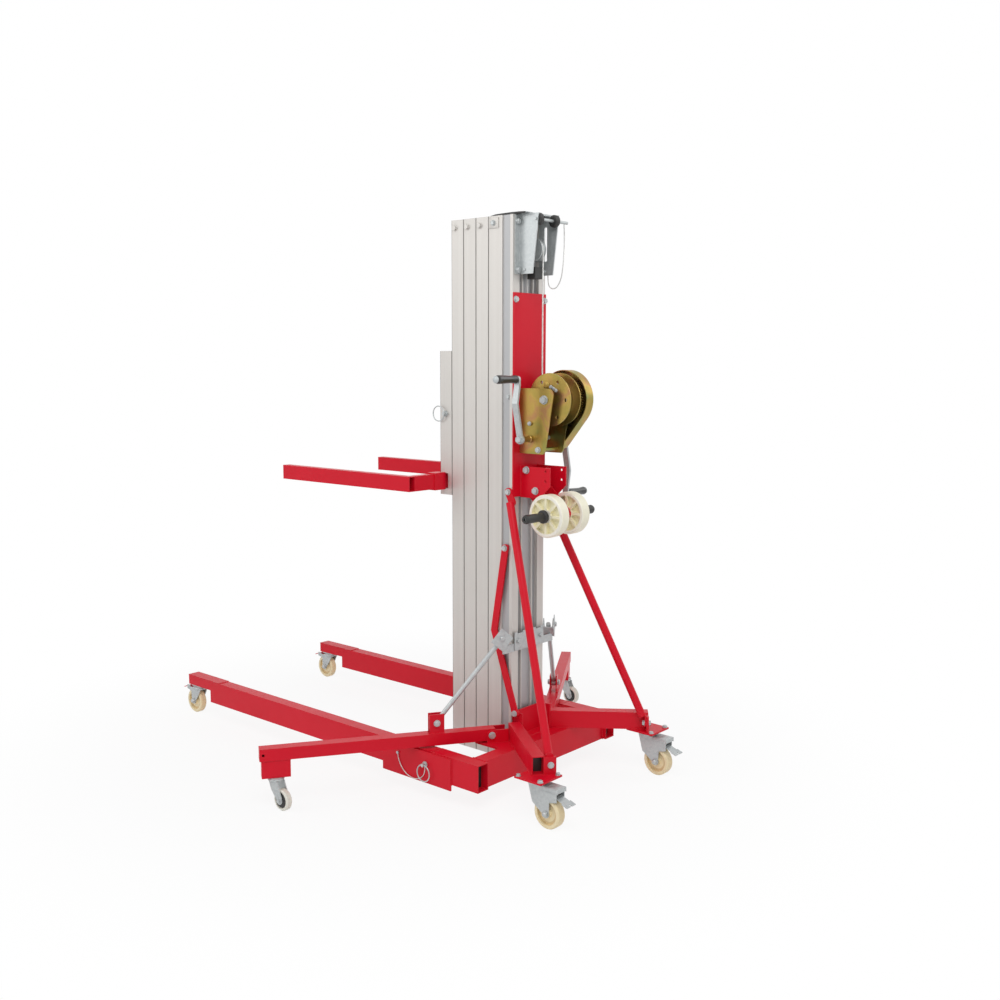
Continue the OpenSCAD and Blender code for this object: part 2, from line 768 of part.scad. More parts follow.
// Stabiliser: square tube with its lug, end post and bolts
module stabiliser(side) {
    back = 14;
    post_l = 92;
    post_in = 6;
    post_w = stab_tube - 6;
    lug_w = 50;
    lug_top = lug_rise + 30;
    tie_hole_d = 9;
    tie_in = 12;
    h = stab_tube / 2;
    color(red) handed(side) on_link() {
        difference() {
            union() {
                translate([-back, 0, -h]) box_tube(stab_l + back, stab_tube, stab_tube, tube_wall);
                translate([stab_l - tube_wall, -h, -h]) cube([tube_wall, stab_tube, stab_tube]);
                translate([stab_l - post_l - post_in, -post_w / 2, -h - side_post_h]) difference() {
                    cube([post_l, post_w, side_post_h + 1]);
                    translate([tube_wall, tube_wall, tube_wall])
                        cube([post_l - 2 * tube_wall, post_w - 2 * tube_wall, side_post_h - 2 * tube_wall]);
                }
                for (s = [-1, 1])
                    translate([lug_reach - lug_w / 2, s * (lug_gap + lug_t / 2) - lug_t / 2, h - 1])
                        cube([lug_w, lug_t, lug_top - h + 1]);
            }
            rotate([90, 0, 0]) cylinder(d = pivot_d + 2 * run, h = 2 * stab_tube, center = true);
            translate([lug_reach, 0, lug_rise]) rotate([90, 0, 0])
                cylinder(d = lug_bolt_d, h = stab_tube, center = true);
            translate([stab_l - tie_in, 0, 0]) rotate([90, 0, 0])
                cylinder(d = tie_hole_d, h = 2 * stab_tube, center = true);
        }
    }
    color(zinc) handed(side) on_link() translate([lug_reach, 0, lug_rise]) rotate([90, 0, 0]) {
        cylinder(d = lug_bolt_d, h = 2 * lug_gap + 2 * lug_t, center = true);
        for (s = [0, 180]) rotate([s, 0, 0]) translate([0, 0, lug_gap + lug_t]) {
            cylinder(d = 2 * lug_bolt_d, h = 2);
            cylinder(d = 1.7 * lug_bolt_d, h = 0.7 * lug_bolt_d, $fn = 6);
        }
    }
}

// Brace rod: an eye on the lug bolt and a round bar up through the block
module brace_rod(side) {
    l = norm(rod_run) + rod_tail;
    eye_r = 13;
    color(zinc) handed(side) on_link() translate([lug_reach, 0, lug_rise]) rotate([0, -rod_turn, 0]) {
        difference() {
            union() {
                rotate([90, 0, 0]) cylinder(r = eye_r, h = rod_d - 2, center = true);
                rotate([0, 90, 0]) cylinder(d = rod_d, h = l);
            }
            rotate([90, 0, 0]) cylinder(d = lug_bolt_d + 2 * run, h = 2 * rod_d, center = true);
        }
    }
}

// Bar across the mast's rear with an open block at each end for a brace rod
module cross_bracket() {
    bar_h = 26;
    bar_t = 6;
    bar_z = stab_pivot_z + block_rise - 48;
    bar_half = half_w + 48;
    wall = 3;
    inner = rod_d / 2 + 7;
    length = 50;
    low = rod_d / 2 + 12;
    high = 17;
    color(zinc) {
        translate([-bar_half, 0, bar_z]) cube([2 * bar_half, bar_t, bar_h]);
        for (side = [1, -1]) handed(side)
            on_link() translate([block_s - pivot_s, 0, block_rise]) rotate([0, -rod_turn, 0]) {
                for (s = [-1, 1])
                    translate([-length / 2, s * (inner + wall / 2) - wall / 2, -high])
                        cube([length, wall, high + low]);
                translate([-length / 2, -inner - wall, low - 1]) cube([length, 2 * (inner + wall), wall + 1]);
            }
    }
}

// Swivel caster fork, with its swivel axis at the origin, the floor at z = 0 and +Y trailing
module caster_fork(d, w, trail, mount_z, pedal) {
    r = d / 2;
    arm_t = 3;
    axle_d = 10;
    boss_r = 13;
    crown_h = 10;
    crown_r = min(30, w / 2 + 13);
    crown_half = 0.8 * crown_r;
    crown_z = mount_z - crown_h;
    arm_x = w / 2 + 2;
    pivot = [pedal_y(r, trail), pedal_z(r)];
    ledge = max(crown_z, pivot[1] + 7);
    shoulder = pedal ? [
        [pivot[0] - 12, crown_z], [pivot[0] - 8, ledge], pivot + [10, ledge - pivot[1]], pivot + [10, -9],
        [trail + boss_r + 1, pivot[1] - 15]
    ] : [[crown_half + 6, crown_z], [crown_half + 6, crown_z - 6], [trail + boss_r - 2, r + 12]];
    color(zinc) {
        difference() {
            union() {
                translate([0, 0, crown_z - 1]) cylinder(r = crown_r, h = crown_h + 1);
                translate([-arm_x - arm_t, -crown_half, crown_z - arm_t])
                    cube([2 * (arm_x + arm_t), 2 * crown_half, arm_t]);
                for (x = [arm_x, -arm_x - arm_t]) {
                    along_x(x, arm_t) polygon(concat([[-crown_half, crown_z]], shoulder, [
                        [trail + boss_r - 1, r], [trail - boss_r + 1, r - 2], [-0.3 * crown_half, r + 28]
                    ]));
                    rod_x(x, x + arm_t, trail, r, 2 * boss_r);
                }
            }
            rod_x(-w, w, trail, r, axle_d);
            if (pedal) rod_x(-w, w, pivot[0], pivot[1], pedal_pin_d);
        }
        rod_x(-arm_x - arm_t - 3, arm_x + arm_t + 3, trail, r, axle_d);
        for (s = [-1, 1]) bolt_x(s * (arm_x + arm_t), trail, r, 0.8 * axle_d, s);
        if (pedal) rod_x(-arm_x - arm_t - 1, arm_x + arm_t + 1, pivot[0], pivot[1], pedal_pin_d);
    }
}

// Caster wheel with a recessed web and a hub
module caster_wheel(d, w, trail, tone) {
    r = d / 2;
    bore = 5 + run;
    boss_r = 13;
    tread = r * 0.3;
    crown = 4;
    web = w * 0.5;
    color(tone) translate([0, trail, r]) rotate([0, 90, 0]) rotate_extrude() polygon([
        [bore, -w / 2], [boss_r, -w / 2], [boss_r + 2, -web / 2], [r - tread, -web / 2],
        [r - tread + 2, -w / 2], [r - crown, -w / 2], [r, -w / 2 + crown], [r, w / 2 - crown],
        [r - crown, w / 2], [r - tread + 2, w / 2], [r - tread, web / 2], [boss_r + 2, web / 2],
        [boss_r, w / 2], [bore, w / 2]
    ]);
}

// Foot pedal of a caster brake
module caster_pedal(d, w, trail, l, tone) {
    r = d / 2;
    barrel_d = 13;
    pad_t = 3;
    wing = 6;
    wing_l = 0.4 * l;
    slot = [6, 11];
    color(tone) translate([0, pedal_y(r, trail), pedal_z(r)]) difference() {
        union() {
            rod_x(-w / 2 - 1, w / 2 + 1, 0, 0, barrel_d);
            rotate([-pedal_lean, 0, 0]) {
                translate([-w / 2, 0, pedal_top - pad_t]) cube([w, l, pad_t]);
                translate([-w / 2 - wing, l - wing_l, pedal_top - pad_t]) cube([w + 2 * wing, wing_l, pad_t]);
            }
        }
        rod_x(-w, w, 0, 0, pedal_pin_d + 2 * run);
        rotate([-pedal_lean, 0, 0]) translate([-slot[0] / 2, l - slot[1], 0])
            cube([slot[0], slot[1] + 1, 2 * pedal_top]);
    }
}

module at_rear(side) {
    translate([side * rear_caster_x, rear_caster_y, 0]) children();
}

module at_front(side) {
    translate([side * side_tube_x, -front_caster_y, 0]) rotate([0, 0, 180]) children();
}

module at_side(side) {
    handed(side) translate([
        pivot_xy[0] + side_caster_s * cos(stab_angle), pivot_xy[1] - side_caster_s * sin(stab_angle), 0
    ]) children();
}

module rear_caster(side) {
    at_rear(side) caster_fork(rear_wheel_d, rear_wheel_w, rear_trail, rear_mount_z, true);
}

module front_caster(side) {
    at_front(side) caster_fork(front_wheel_d, front_wheel_w, front_trail, front_mount_z, true);
}

module side_caster(side) {
    at_side(side) caster_fork(side_wheel_d, side_wheel_w, side_trail, side_mount_z, false);
}

module rear_wheel(side) {
    at_rear(side) caster_wheel(rear_wheel_d, rear_wheel_w, rear_trail, cream);
}

module front_wheel(side) {
    at_front(side) caster_wheel(front_wheel_d, front_wheel_w, front_trail, cream);
}

module side_wheel(side) {
    at_side(side) caster_wheel(side_wheel_d, side_wheel_w, side_trail, white);
}

module rear_pedal(side) {
    at_rear(side) caster_pedal(rear_wheel_d, rear_wheel_w, rear_trail, rear_pedal_l, zinc);
}

module front_pedal(side) {
    at_front(side) caster_pedal(front_wheel_d, front_wheel_w, front_trail, front_pedal_l, red);
}

// Winch plate: a flat plate on the mast's rear with bolted ears and the arms of the transport axle
module winch_plate() {
    ear_top = plate_z0 + 101;
    ear_low = plate_z0 - 3;
    ear_back = 128;
    ear_hole_y = ear_back - 18;
    arm_x = lift_wheel_x - lift_wheel_w / 2 - ear_w_t - 1;
    arm_r = 22;
    root_r = 28;
    root = [plate_w_t - 1 + root_r, plate_z0 + root_r + 6];
    root_pad = 2 * root_r - 8;
    hole_d = 9;
    color(red) difference() {
        union() {
            translate([-half_w, 0, plate_z0]) cube([mast_w, plate_w_t, plate_h]);
            for (x = [ear_x, -ear_x - ear_w_t])
                along_x(x, ear_w_t) polygon([
                    [plate_w_t - 1, ear_low], [plate_w_t - 1, ear_top], [ear_back, ear_top],
                    [ear_back, plate_z0 + 38], [ear_back - 36, plate_z0 + 4], [ear_back - 60, ear_low]
                ]);
            for (x = [arm_x, -arm_x - ear_w_t]) {
                drop_x(x, ear_w_t, root, root_r, [lift_axle_y, lift_axle_z], arm_r);
                translate([x, plate_w_t - 1, root[1] - root_pad / 2]) cube([ear_w_t, root_r, root_pad]);
            }
        }
        rod_x(-ear_x - 10, ear_x + 10, lift_axle_y, lift_axle_z, lift_axle_d);
        for (z = [plate_z0 + 56, plate_z0 + 89])
            rod_x(-ear_x - 10, ear_x + 10, ear_hole_y, z, hole_d);
    }
}

// Winch side plate from x0: straight front, one rounded rear corner and a narrow foot
module side_plate(x0) {
    top = drum_z + 37;
    low = drum_z - frame_low;
    corner_r = 22;
    corner = [drum_y + 15, top - corner_r];
    heel = [drum_y - 4, low];
    hair = 0.02;
    edge = unit([corner[0] + corner_r - heel[0] - 8, corner[1] - heel[1] - 8]);
    rod_x(x0, x0 + frame_t, corner[0], corner[1], 2 * corner_r);
    along_x(x0, frame_t) polygon([
        [plate_w_t, low], [plate_w_t, top - hair], [corner[0], top - hair], corner,
        corner + (corner_r - hair) * [edge[1], -edge[0]], heel + [8, 8], heel
    ]);
}

// Winch frame: two side plates with feet, a tie rod and the fixed drum axle
module winch_frame() {
    foot_w = 24;
    foot_h = frame_low + 37;
    color(gold) {
        for (side = [1, -1]) {
            x = side > 0 ? near_x : far_x - frame_t;
            foot_x = side > 0 ? near_x - foot_w : far_x;
            difference() {
                union() {
                    side_plate(x);
                    translate([foot_x, plate_w_t, drum_z - frame_low]) cube([foot_w, frame_t, foot_h - 1]);
                }
                rod_x(x - 1, x + frame_t + 1, crank_y, crank_z, shaft_d + 2 * run);
                rod_x(x - 1, x + frame_t + 1, lay_y, lay_z, lay_d + 2 * run);
                if (side > 0) rod_x(x - 1, x + frame_t + 1, drum_y, drum_z, shaft_d);
                if (side < 0) rod_x(x - 1, x + frame_t + 1, drum_y, drum_z, 2 * hub_r + 4);
                rod_x(x - 1, x + frame_t + 1, tie[0], tie[1], tie_d);
            }
        }
        rod_x(far_x - frame_t, near_x + frame_t, tie[0], tie[1], tie_d);
        rod_x(guard_x0, near_x + frame_t, drum_y, drum_z, shaft_d);
    }
}

// Gear guard: a pressed cover with a rim round the drum gear and its pinion
module gear_guard() {
    depth = far_x - frame_t - guard_x0;
    tail = [crank_y + 12, crank_z + 16];
    shaft_hole_d = shaft_d + 3;
    front = plate_w_t + 3;
    color(gold) difference() {
        drop_x(guard_x0, depth, [drum_y, drum_z], guard_r, tail, guard_tail_r);
        drop_x(guard_x0 + guard_t, depth, [drum_y, drum_z], guard_r - guard_t, tail, guard_tail_r - guard_t);
        rod_x(guard_x0 - 1, guard_x0 + guard_t + 1, drum_y, drum_z, shaft_d);
        rod_x(guard_x0 - 1, guard_x0 + guard_t + 1, crank_y, crank_z, shaft_hole_d);
        translate([guard_x0 - 1, front - guard_r, tail[1] - guard_r]) cube([depth + 2, guard_r, 3 * guard_r]);
    }
}

// Rope drum with its two flanges, hub and gear
module winch_drum() {
    core_r = wind_r - rope_d / 2 - skin;
    clamp_r = flange_r - 22;
    color(gold) difference() {
        union() {
            rod_x(drum_x0 - 1, drum_x1 + 1, drum_y, drum_z, 2 * core_r);
            rod_x(drum_x1, drum_x1 + flange_t, drum_y, drum_z, 2 * flange_r);
            rod_x(drum_x0 - flange_t, drum_x0, drum_y, drum_z, 2 * flange_r);
            rod_x(gear_x1 - 1, drum_x0, drum_y, drum_z, 2 * hub_r);
            translate([gear_x0, drum_y, drum_z]) rotate([90, 0, 90]) rotate(mesh_turn)
                linear_extrude(gear_x1 - gear_x0) gear_outline(drum_gear);
        }
        rod_x(gear_x0 - 1, drum_x1 + flange_t + 1, drum_y, drum_z, shaft_d + 2 * run);
        for (a = [0 : 60 : 300])
            rod_x(
                drum_x1 - 1, drum_x1 + flange_t + 1, drum_y + clamp_r * cos(a), drum_z + clamp_r * sin(a), 12
            );
    }
}

// Lay shaft with the large second-stage gear and the drum pinion
module lay_gear() {
    color(gold) {
        rod_x(gear_x0 - 6, near_x + frame_t + 4, lay_y, lay_z, lay_d);
        translate([gear_x0 - 2, lay_y, lay_z]) rotate([90, 0, 90])
            rotate(mesh_turn + 180 + 180 / lay_pinion[0])
            linear_extrude(gear_x1 - gear_x0 + 3) gear_outline(lay_pinion);
        translate([stage_x0, lay_y, lay_z]) rotate([90, 0, 90]) rotate(-90)
            linear_extrude(stage_x1 - stage_x0) gear_outline(lay_wheel);
    }
}

// Crank shaft with its pinion and square ends
module crank_shaft() {
    color(zinc) {
        rod_x(crank_far_x - crank_t / 2 - 4, crank_x + crank_t / 2 + 4, crank_y, crank_z, shaft_d);
        translate([stage_x0 - 1, crank_y, crank_z]) rotate([90, 0, 90]) rotate(90 + 180 / crank_pinion[0])
            linear_extrude(stage_x1 - stage_x0 + 2) gear_outline(crank_pinion);
    }
}

// Crank arm: a flat bar bowed outwards, with a hub and a grip pin; up and out are 1 or -1
module crank_arm(hub_x, up, out) {
    hub_d = 30;
    arm_w = 22;
    pin_l = grip_l + 8;
    h = crank_t / 2;
    bend = [hub_x + out * crank_bow, up * 0.6 * crank_l];
    tip = [hub_x + out * crank_set, up * crank_l];
    heel = tip - [0, up * 20];
    pin_x = out > 0 ? tip[0] : tip[0] - pin_l;
    color(zinc) {
        difference() {
            union() {
                rod_x(hub_x - h, hub_x + h, crank_y, crank_z, hub_d);
                rod_x(tip[0] - h, tip[0] + h, crank_y, crank_z + tip[1], arm_w);
                translate([0, crank_y + arm_w / 2, crank_z]) rotate([90, 0, 0]) linear_extrude(arm_w)
                    polygon([
                        [hub_x - h, 0], bend - [h, 0], heel - [h, 0], tip - [h, 0],
                        tip + [h, 0], heel + [h, 0], bend + [h, 0], [hub_x + h, 0]
                    ]);
            }
            rod_x(hub_x - crank_t, hub_x + crank_t, crank_y, crank_z, shaft_d);
        }
        rod_x(pin_x, pin_x + pin_l, crank_y, crank_z + tip[1], grip_pin_d);
    }
}

module crank_arms() {
    crank_arm(crank_x, 1, 1);
    crank_arm(crank_far_x, -1, -1);
}

// Hand grip on a crank pin
module crank_grip(hub_x, up, out) {
    face_x = hub_x + out * (crank_set + crank_t / 2 + slip);
    x0 = out > 0 ? face_x : face_x - grip_l;
    bore = grip_pin_d / 2 + run;
    color(black) translate([x0, crank_y, crank_z + up * crank_l]) rotate([0, 90, 0]) rotate_extrude()
        polygon([
            [bore, 0], [grip_r - 3, 0], [grip_r, 6], [grip_r - 2, 30], [grip_r, grip_l - 20],
            [grip_r, grip_l - 8], [grip_r - 4, grip_l], [bore, grip_l]
        ]);
}

// Transport wheel with pockets in both faces
module transport_wheel(side) {
    r = lift_wheel_d / 2;
    x0 = side * lift_wheel_x - lift_wheel_w / 2;
    bore = lift_axle_d / 2 + run;
    boss_r = 22;
    rim = 13;
    crown = 4;
    pocket_d = 13;
    spokes = 8;
    rib = 9;
    color(ivory) difference() {
        translate([x0, lift_axle_y, lift_axle_z]) rotate([0, 90, 0]) rotate_extrude() polygon([
            [bore, 0], [r - crown, 0], [r, crown], [r, lift_wheel_w - crown], [r - crown, lift_wheel_w],
            [bore, lift_wheel_w]
        ]);
        for (x = [x0 - 1, x0 + lift_wheel_w - pocket_d])
            translate([x, lift_axle_y, lift_axle_z]) rotate([90, 0, 90]) linear_extrude(pocket_d + 1)
                difference() {
                    circle(r - rim);
                    circle(boss_r);
                    for (a = [0 : 360 / spokes : 359]) rotate(a) translate([0, -rib / 2]) square([r, rib]);
                }
    }
}

// Rubber grips on the ends of the transport axle and the bumper sleeve at the head
module grips_and_bumper() {
    block = [38, 32, 38];
    block_drop = 28;
    l = grip_x1 - grip_x0;
    color(black) difference() {
        translate([-block[0] / 2, bumper_y - block[1] / 2, bumper_z - block_drop]) cube(block);
        rod_x(-head_x, head_x, bumper_y, bumper_z, bumper_pin_d);
    }
    color(black) for (side = [1, -1]) handed(side)
        translate([grip_x0, lift_axle_y, lift_axle_z]) rotate([0, 90, 0]) rotate_extrude() polygon([
            [lift_axle_d / 2, 0], [22, 0], [22, 6], [15, 9], [14, 30], [15, l - 6], [12, l], [5, l],
            [5, l - 6], [lift_axle_d / 2, l - 6]
        ]);
}

// Head: folded bracket over the mast top with cheeks for the rope pulley
module top_bracket() {
    cap_t = 4;
    cap_y0 = -column_d + lip_t + channel_d;
    cap_y1 = top_axle_y - roller_r - 6;
    plate_d = 82;
    toe = 58;
    foot_w = 26;
    cheek_t = 3;
    cheek_x = sheave_w / 2 + 1;
    cheek_r = sheave_r + 5;
    cheek_h = 60;
    slot_w = 12;
    slot_y = 28;
    slot_z = [head_low + 51, head_low + 151];
    color(zinc) difference() {
        union() {
            translate([-head_x - head_t, cap_y0, mast_top])
                cube([2 * (head_x + head_t), cap_y1 - cap_y0, cap_t]);
            for (x = [head_x, -head_x - head_t])
                along_x(x, head_t) polygon([
                    [0, head_low], [toe, head_low], [plate_d, mast_top + 1], [0, mast_top + 1]
                ]);
            for (x = [head_x + 1, -head_x - foot_w])
                translate([x, 0, head_low]) cube([foot_w - 1, cap_t, mast_top - head_low - 1]);
            for (x = [cheek_x, -cheek_x - cheek_t]) {
                rod_x(x, x + cheek_t, sheave_y, sheave_z, 2 * cheek_r);
                translate([x, -recess_d, sheave_z - cheek_h / 2])
                    cube([cheek_t, recess_d + sheave_y, cheek_h]);
            }
            translate([-cheek_x - 1, -recess_d, sheave_z - cheek_h / 2])
                cube([2 * cheek_x + 2, cheek_t, cheek_h]);
        }
        for (p = [[top_axle_y, top_axle_z, top_axle_d], [bumper_y, bumper_z, bumper_pin_d]])
            rod_x(-head_x - head_t - 1, head_x + head_t + 1, p[0], p[1], p[2]);
        rod_x(-cheek_x - cheek_t - 1, cheek_x + cheek_t + 1, sheave_y, sheave_z, sheave_pin_d);
        for (z = slot_z) rod_x(-head_x - head_t - 1, -head_x + 1, slot_y, z, slot_w);
        translate([-head_x - head_t - 1, slot_y - slot_w / 2 + 0.02, slot_z[0]])
            cube([head_t + 2, slot_w - 0.04, slot_z[1] - slot_z[0]]);
    }
}

// Black rollers on the head axle, inside the bracket's plates
module top_rollers() {
    color(black) for (side = [1, -1]) handed(side)
        translate([head_x - slip - roller_w, top_axle_y, top_axle_z]) rotate([0, 90, 0]) rotate_extrude()
            polygon([
                [top_axle_d / 2 + run, 0], [roller_r - 5, 0], [roller_r, 5], [roller_r, roller_w - 3],
                [roller_r - 3, roller_w], [top_axle_d / 2 + run, roller_w]
            ]);
}

// Grooved rope pulley
module rope_pulley() {
    groove = sheave_r - rope_d / 2 - skin;
    rim = sheave_r + 3;
    color(zinc) translate([-sheave_w / 2, sheave_y, sheave_z]) rotate([0, 90, 0]) rotate_extrude() polygon([
        [sheave_pin_d / 2 + run, 0], [rim, 0], [rim, 2.5],
        [groove, sheave_w / 2 - 2], [groove, sheave_w / 2 + 2],
        [rim, sheave_w - 2.5], [rim, sheave_w], [sheave_pin_d / 2 + run, sheave_w]
    ]);
}

// Hoist rope: turns on the drum, up to the pulley, over it and down into the mast
function wind_points() = [
    for (i = [0 : 24 * rope_turns])
        let (a = 180 + 360 * (rope_turns - i / 24))
            [-(rope_turns - i / 24) * rope_lead * rope_d, drum_y + wind_r * cos(a), drum_z - wind_r * sin(a)]
];
function over_points() = [
    for (a = [0 : 15 : 180]) [0, sheave_y + sheave_r * cos(a), sheave_z + sheave_r * sin(a)]
];
rope_route = concat(
    wind_points(),
    [for (z = [drum_z + 60 : 100 : sheave_z - 40]) [0, drum_y - wind_r, z]],
    over_points(),
    [for (p = [[0, 60], [0, 140], [-2, 158], [-8, 172], [-17, 178]])
        [0, sheave_y - sheave_r + p[0], sheave_z - p[1]]]
);
turn_gap = min([
    for (i = [0 : 24 * (rope_turns - 1)])
        norm(wind_points()[i + 24] - wind_points()[i]) - rope_d
]);
echo(least_gap_between_rope_turns_mm = turn_gap);

module hoist_rope() {
    color(white) swept(rope_route, rope_d, [1, 0, 0], 6);
}

// Bolt through a brace's foot and the rear leg's lug
module foot_bolt() {
    grip = brace_lug_t + brace_tongue_t;
    translate([rear_leg_x0, rear_leg_y0, base_top + rear_leg_h / 2]) rotate([0, 0, rear_leg_turn])
        translate([rear_leg_l, brace_lug_hole, 0]) {
            rod_x(-grip, 0, 0, 0, brace_bolt_d);
            bolt_x(0, 0, 0, brace_bolt_d);
            bolt_x(-grip, 0, 0, brace_bolt_d, -1);
        }
}

// Zinc-plated axles, pins and bolts of the fixed frame
module fasteners() {
    plate_bolt = 10;
    head_bolt = 8;
    ear_bolt = 12;
    rear_top = 84;
    front_top = [44, 64];
    bolt_out = caster_plate / 2 - 9.4;
    tongue_x = half_w + slip;
    color(zinc) {
        rod_x(-grip_x1 + 7, grip_x1 - 7, lift_axle_y, lift_axle_z, lift_axle_d);
        rod_x(-head_x - 58, head_x + head_t + 6, top_axle_y, top_axle_z, top_axle_d);
        rod_x(-sheave_w, sheave_w, sheave_y, sheave_z, sheave_pin_d);
        rod_x(-head_x - head_t - 20, head_x + head_t + 4, bumper_y, bumper_z, bumper_pin_d);
        bolt_x(near_x + frame_t, tie[0], tie[1], plate_bolt);
        bolt_x(near_x + frame_t, drum_y, drum_z, 14);
        for (side = [1, -1]) handed(side) {
            on_link() rotate([90, 0, 0]) {
                cylinder(d = pivot_d, h = stab_tube + 2 * ear_t + 2, center = true);
                for (s = [0, 180]) rotate([s, 0, 0]) translate([0, 0, stab_tube / 2 + slip + ear_t]) {
                    cylinder(d = 2 * pivot_d, h = 2);
                    cylinder(d = 1.7 * pivot_d, h = 0.7 * pivot_d, $fn = 6);
                }
            }
            bolt_y(half_w - 9, plate_w_t, plate_z1 - 22, plate_bolt);
            bolt_x(half_w - flute_d, -21, drum_z + 8, head_bolt);
            bolt_x(tongue_x + brace_tongue_t, brace_bolt_y, brace_bolt_z, plate_bolt);
            rod_x(tongue_x, tongue_x + brace_tongue_t + 1, brace_bolt_y, brace_bolt_z, brace_bolt_d);
            for (p = [[30, plate_z0 + 89], [69, plate_z0 + 22]])
                bolt_x(ear_x + ear_w_t, p[0], p[1], ear_bolt);
            foot_bolt();
            translate([rear_caster_x, rear_caster_y, base_top - plate_t]) {
                translate([0, 0, -caster_top_t / 2]) cube([rear_top, rear_top, caster_top_t], center = true);
                for (s = [-1, 1])
                    translate([s * bolt_out, -s * bolt_out, plate_t]) bolt_z(head_bolt);
            }
            translate([side_tube_x, -front_caster_y, base_top - leg_notch_h - caster_top_t / 2])
                cube([front_top[0], front_top[1], caster_top_t], center = true);
            rod_x(base_half_w + socket_wall, lanyard_x + wire_d,
                lanyard_points[0][1], lanyard_points[0][2] + rivet_d / 2 + skin, rivet_d);
        }
        for (s = [-1, 1]) for (z = [mast_top - 22, mast_top - 178])
            bolt_y(s * (head_x + 14), 4, z, head_bolt);
        for (p = [stow_points[0], stow_points[2]]) bolt_x(half_w + 9, p[0], p[1], plate_bolt);
    }
}

// Free wires: routes chosen by hand in (X, Y, Z) before the frame's shift
lanyard_points = [
    for (p = [
        [-250, 116], [-246, 100], [-232, 76], [-208, 57], [-180, 50], [-152, 54], [-132, 68], [-123, 86],
        [-122, 99.7]
    ]) [lanyard_x, p[0], p[1]]
];
loop_points = [
    for (p = [
        [-92, 72, 23.3], [-93, 73, 60], [-93, 73, 100], [-92, 70, 150], [-90, 64, 195], [-85, 52, 224],
        [-79, 38, 232], [-73, 27, 224], [-70, 24, 204], [-69, 24, 181.3]
    ]) [p[0], p[1], mast_top - p[2]]
];

module pin_lanyard(side) {
    color(white) handed(side) swept(spline(lanyard_points, 4), wire_d, [1, 0, 0], 8);
}

module top_wire() {
    color(white) swept(spline(loop_points, 4), loop_d, [0, 1, 0], 8);
}

in_frame() base_tube(1);  // base_tube_left
in_frame() base_tube(-1);  // base_tube_right
in_frame() base_cross_tube();
in_frame() rear_leg(1);  // rear_leg_left
in_frame() rear_leg(-1);  // rear_leg_right
in_frame() brace_tube(1);  // brace_tube_left
in_frame() brace_tube(-1);  // brace_tube_right
in_frame() stow_bar();
in_frame() front_leg(1);  // front_leg_left
in_frame() front_leg(-1);  // front_leg_right
in_frame() base_column();
in_frame() winch_plate();
in_frame() winch_frame();
in_frame() gear_guard();
in_frame() grips_and_bumper();
in_frame() hoist_rope();
in_frame() cross_bracket();
in_frame() top_bracket();
in_frame() fasteners();
in_frame() top_wire();
in_frame() pin_lanyard(1);  // pin_lanyard_left
in_frame() pin_lanyard(-1);  // pin_lanyard_right
in_frame() mast_section(1);  // mast_section_1
in_frame() mast_section(2);  // mast_section_2
in_frame() mast_section(3);  // mast_section_3
in_frame() carriage();
in_frame() fork_frame();
in_frame() carriage_pin();
in_frame() winch_drum();
in_frame() lay_gear();
in_frame() crank_shaft();
in_frame() crank_arms();
in_frame() crank_grip(crank_x, 1, 1);  // crank_grip_left
in_frame() crank_grip(crank_far_x, -1, -1);  // crank_grip_right
in_frame() transport_wheel(1);  // transport_wheel_left
in_frame() transport_wheel(-1);  // transport_wheel_right
in_frame() top_rollers();
in_frame() rope_pulley();
in_frame() stabiliser(1);  // stabiliser_left
in_frame() stabiliser(-1);  // stabiliser_right
in_frame() brace_rod(1);  // brace_rod_left
in_frame() brace_rod(-1);  // brace_rod_right
in_frame() leg_pin(1);  // leg_pin_left
in_frame() leg_pin(-1);  // leg_pin_right
in_frame() rear_caster(1);  // rear_caster_left
in_frame() rear_caster(-1);  // rear_caster_right
in_frame() front_caster(1);  // front_caster_left
in_frame() front_caster(-1);  // front_caster_right
in_frame() side_caster(1);  // side_caster_left
in_frame() side_caster(-1);  // side_caster_right
in_frame() rear_wheel(1);  // rear_wheel_left
in_frame() rear_wheel(-1);  // rear_wheel_right
in_frame() front_wheel(1);  // front_wheel_left
in_frame() front_wheel(-1);  // front_wheel_right
in_frame() side_wheel(1);  // side_wheel_left
in_frame() side_wheel(-1);  // side_wheel_right
in_frame() rear_pedal(1);  // rear_pedal_left
in_frame() rear_pedal(-1);  // rear_pedal_right
in_frame() front_pedal(1);  // front_pedal_left
in_frame() front_pedal(-1);  // front_pedal_right
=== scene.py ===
"""Looks of a hand-winch material hoist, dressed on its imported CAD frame."""
import json
import math

import bmesh
import bpy
from mathutils import Matrix, Vector

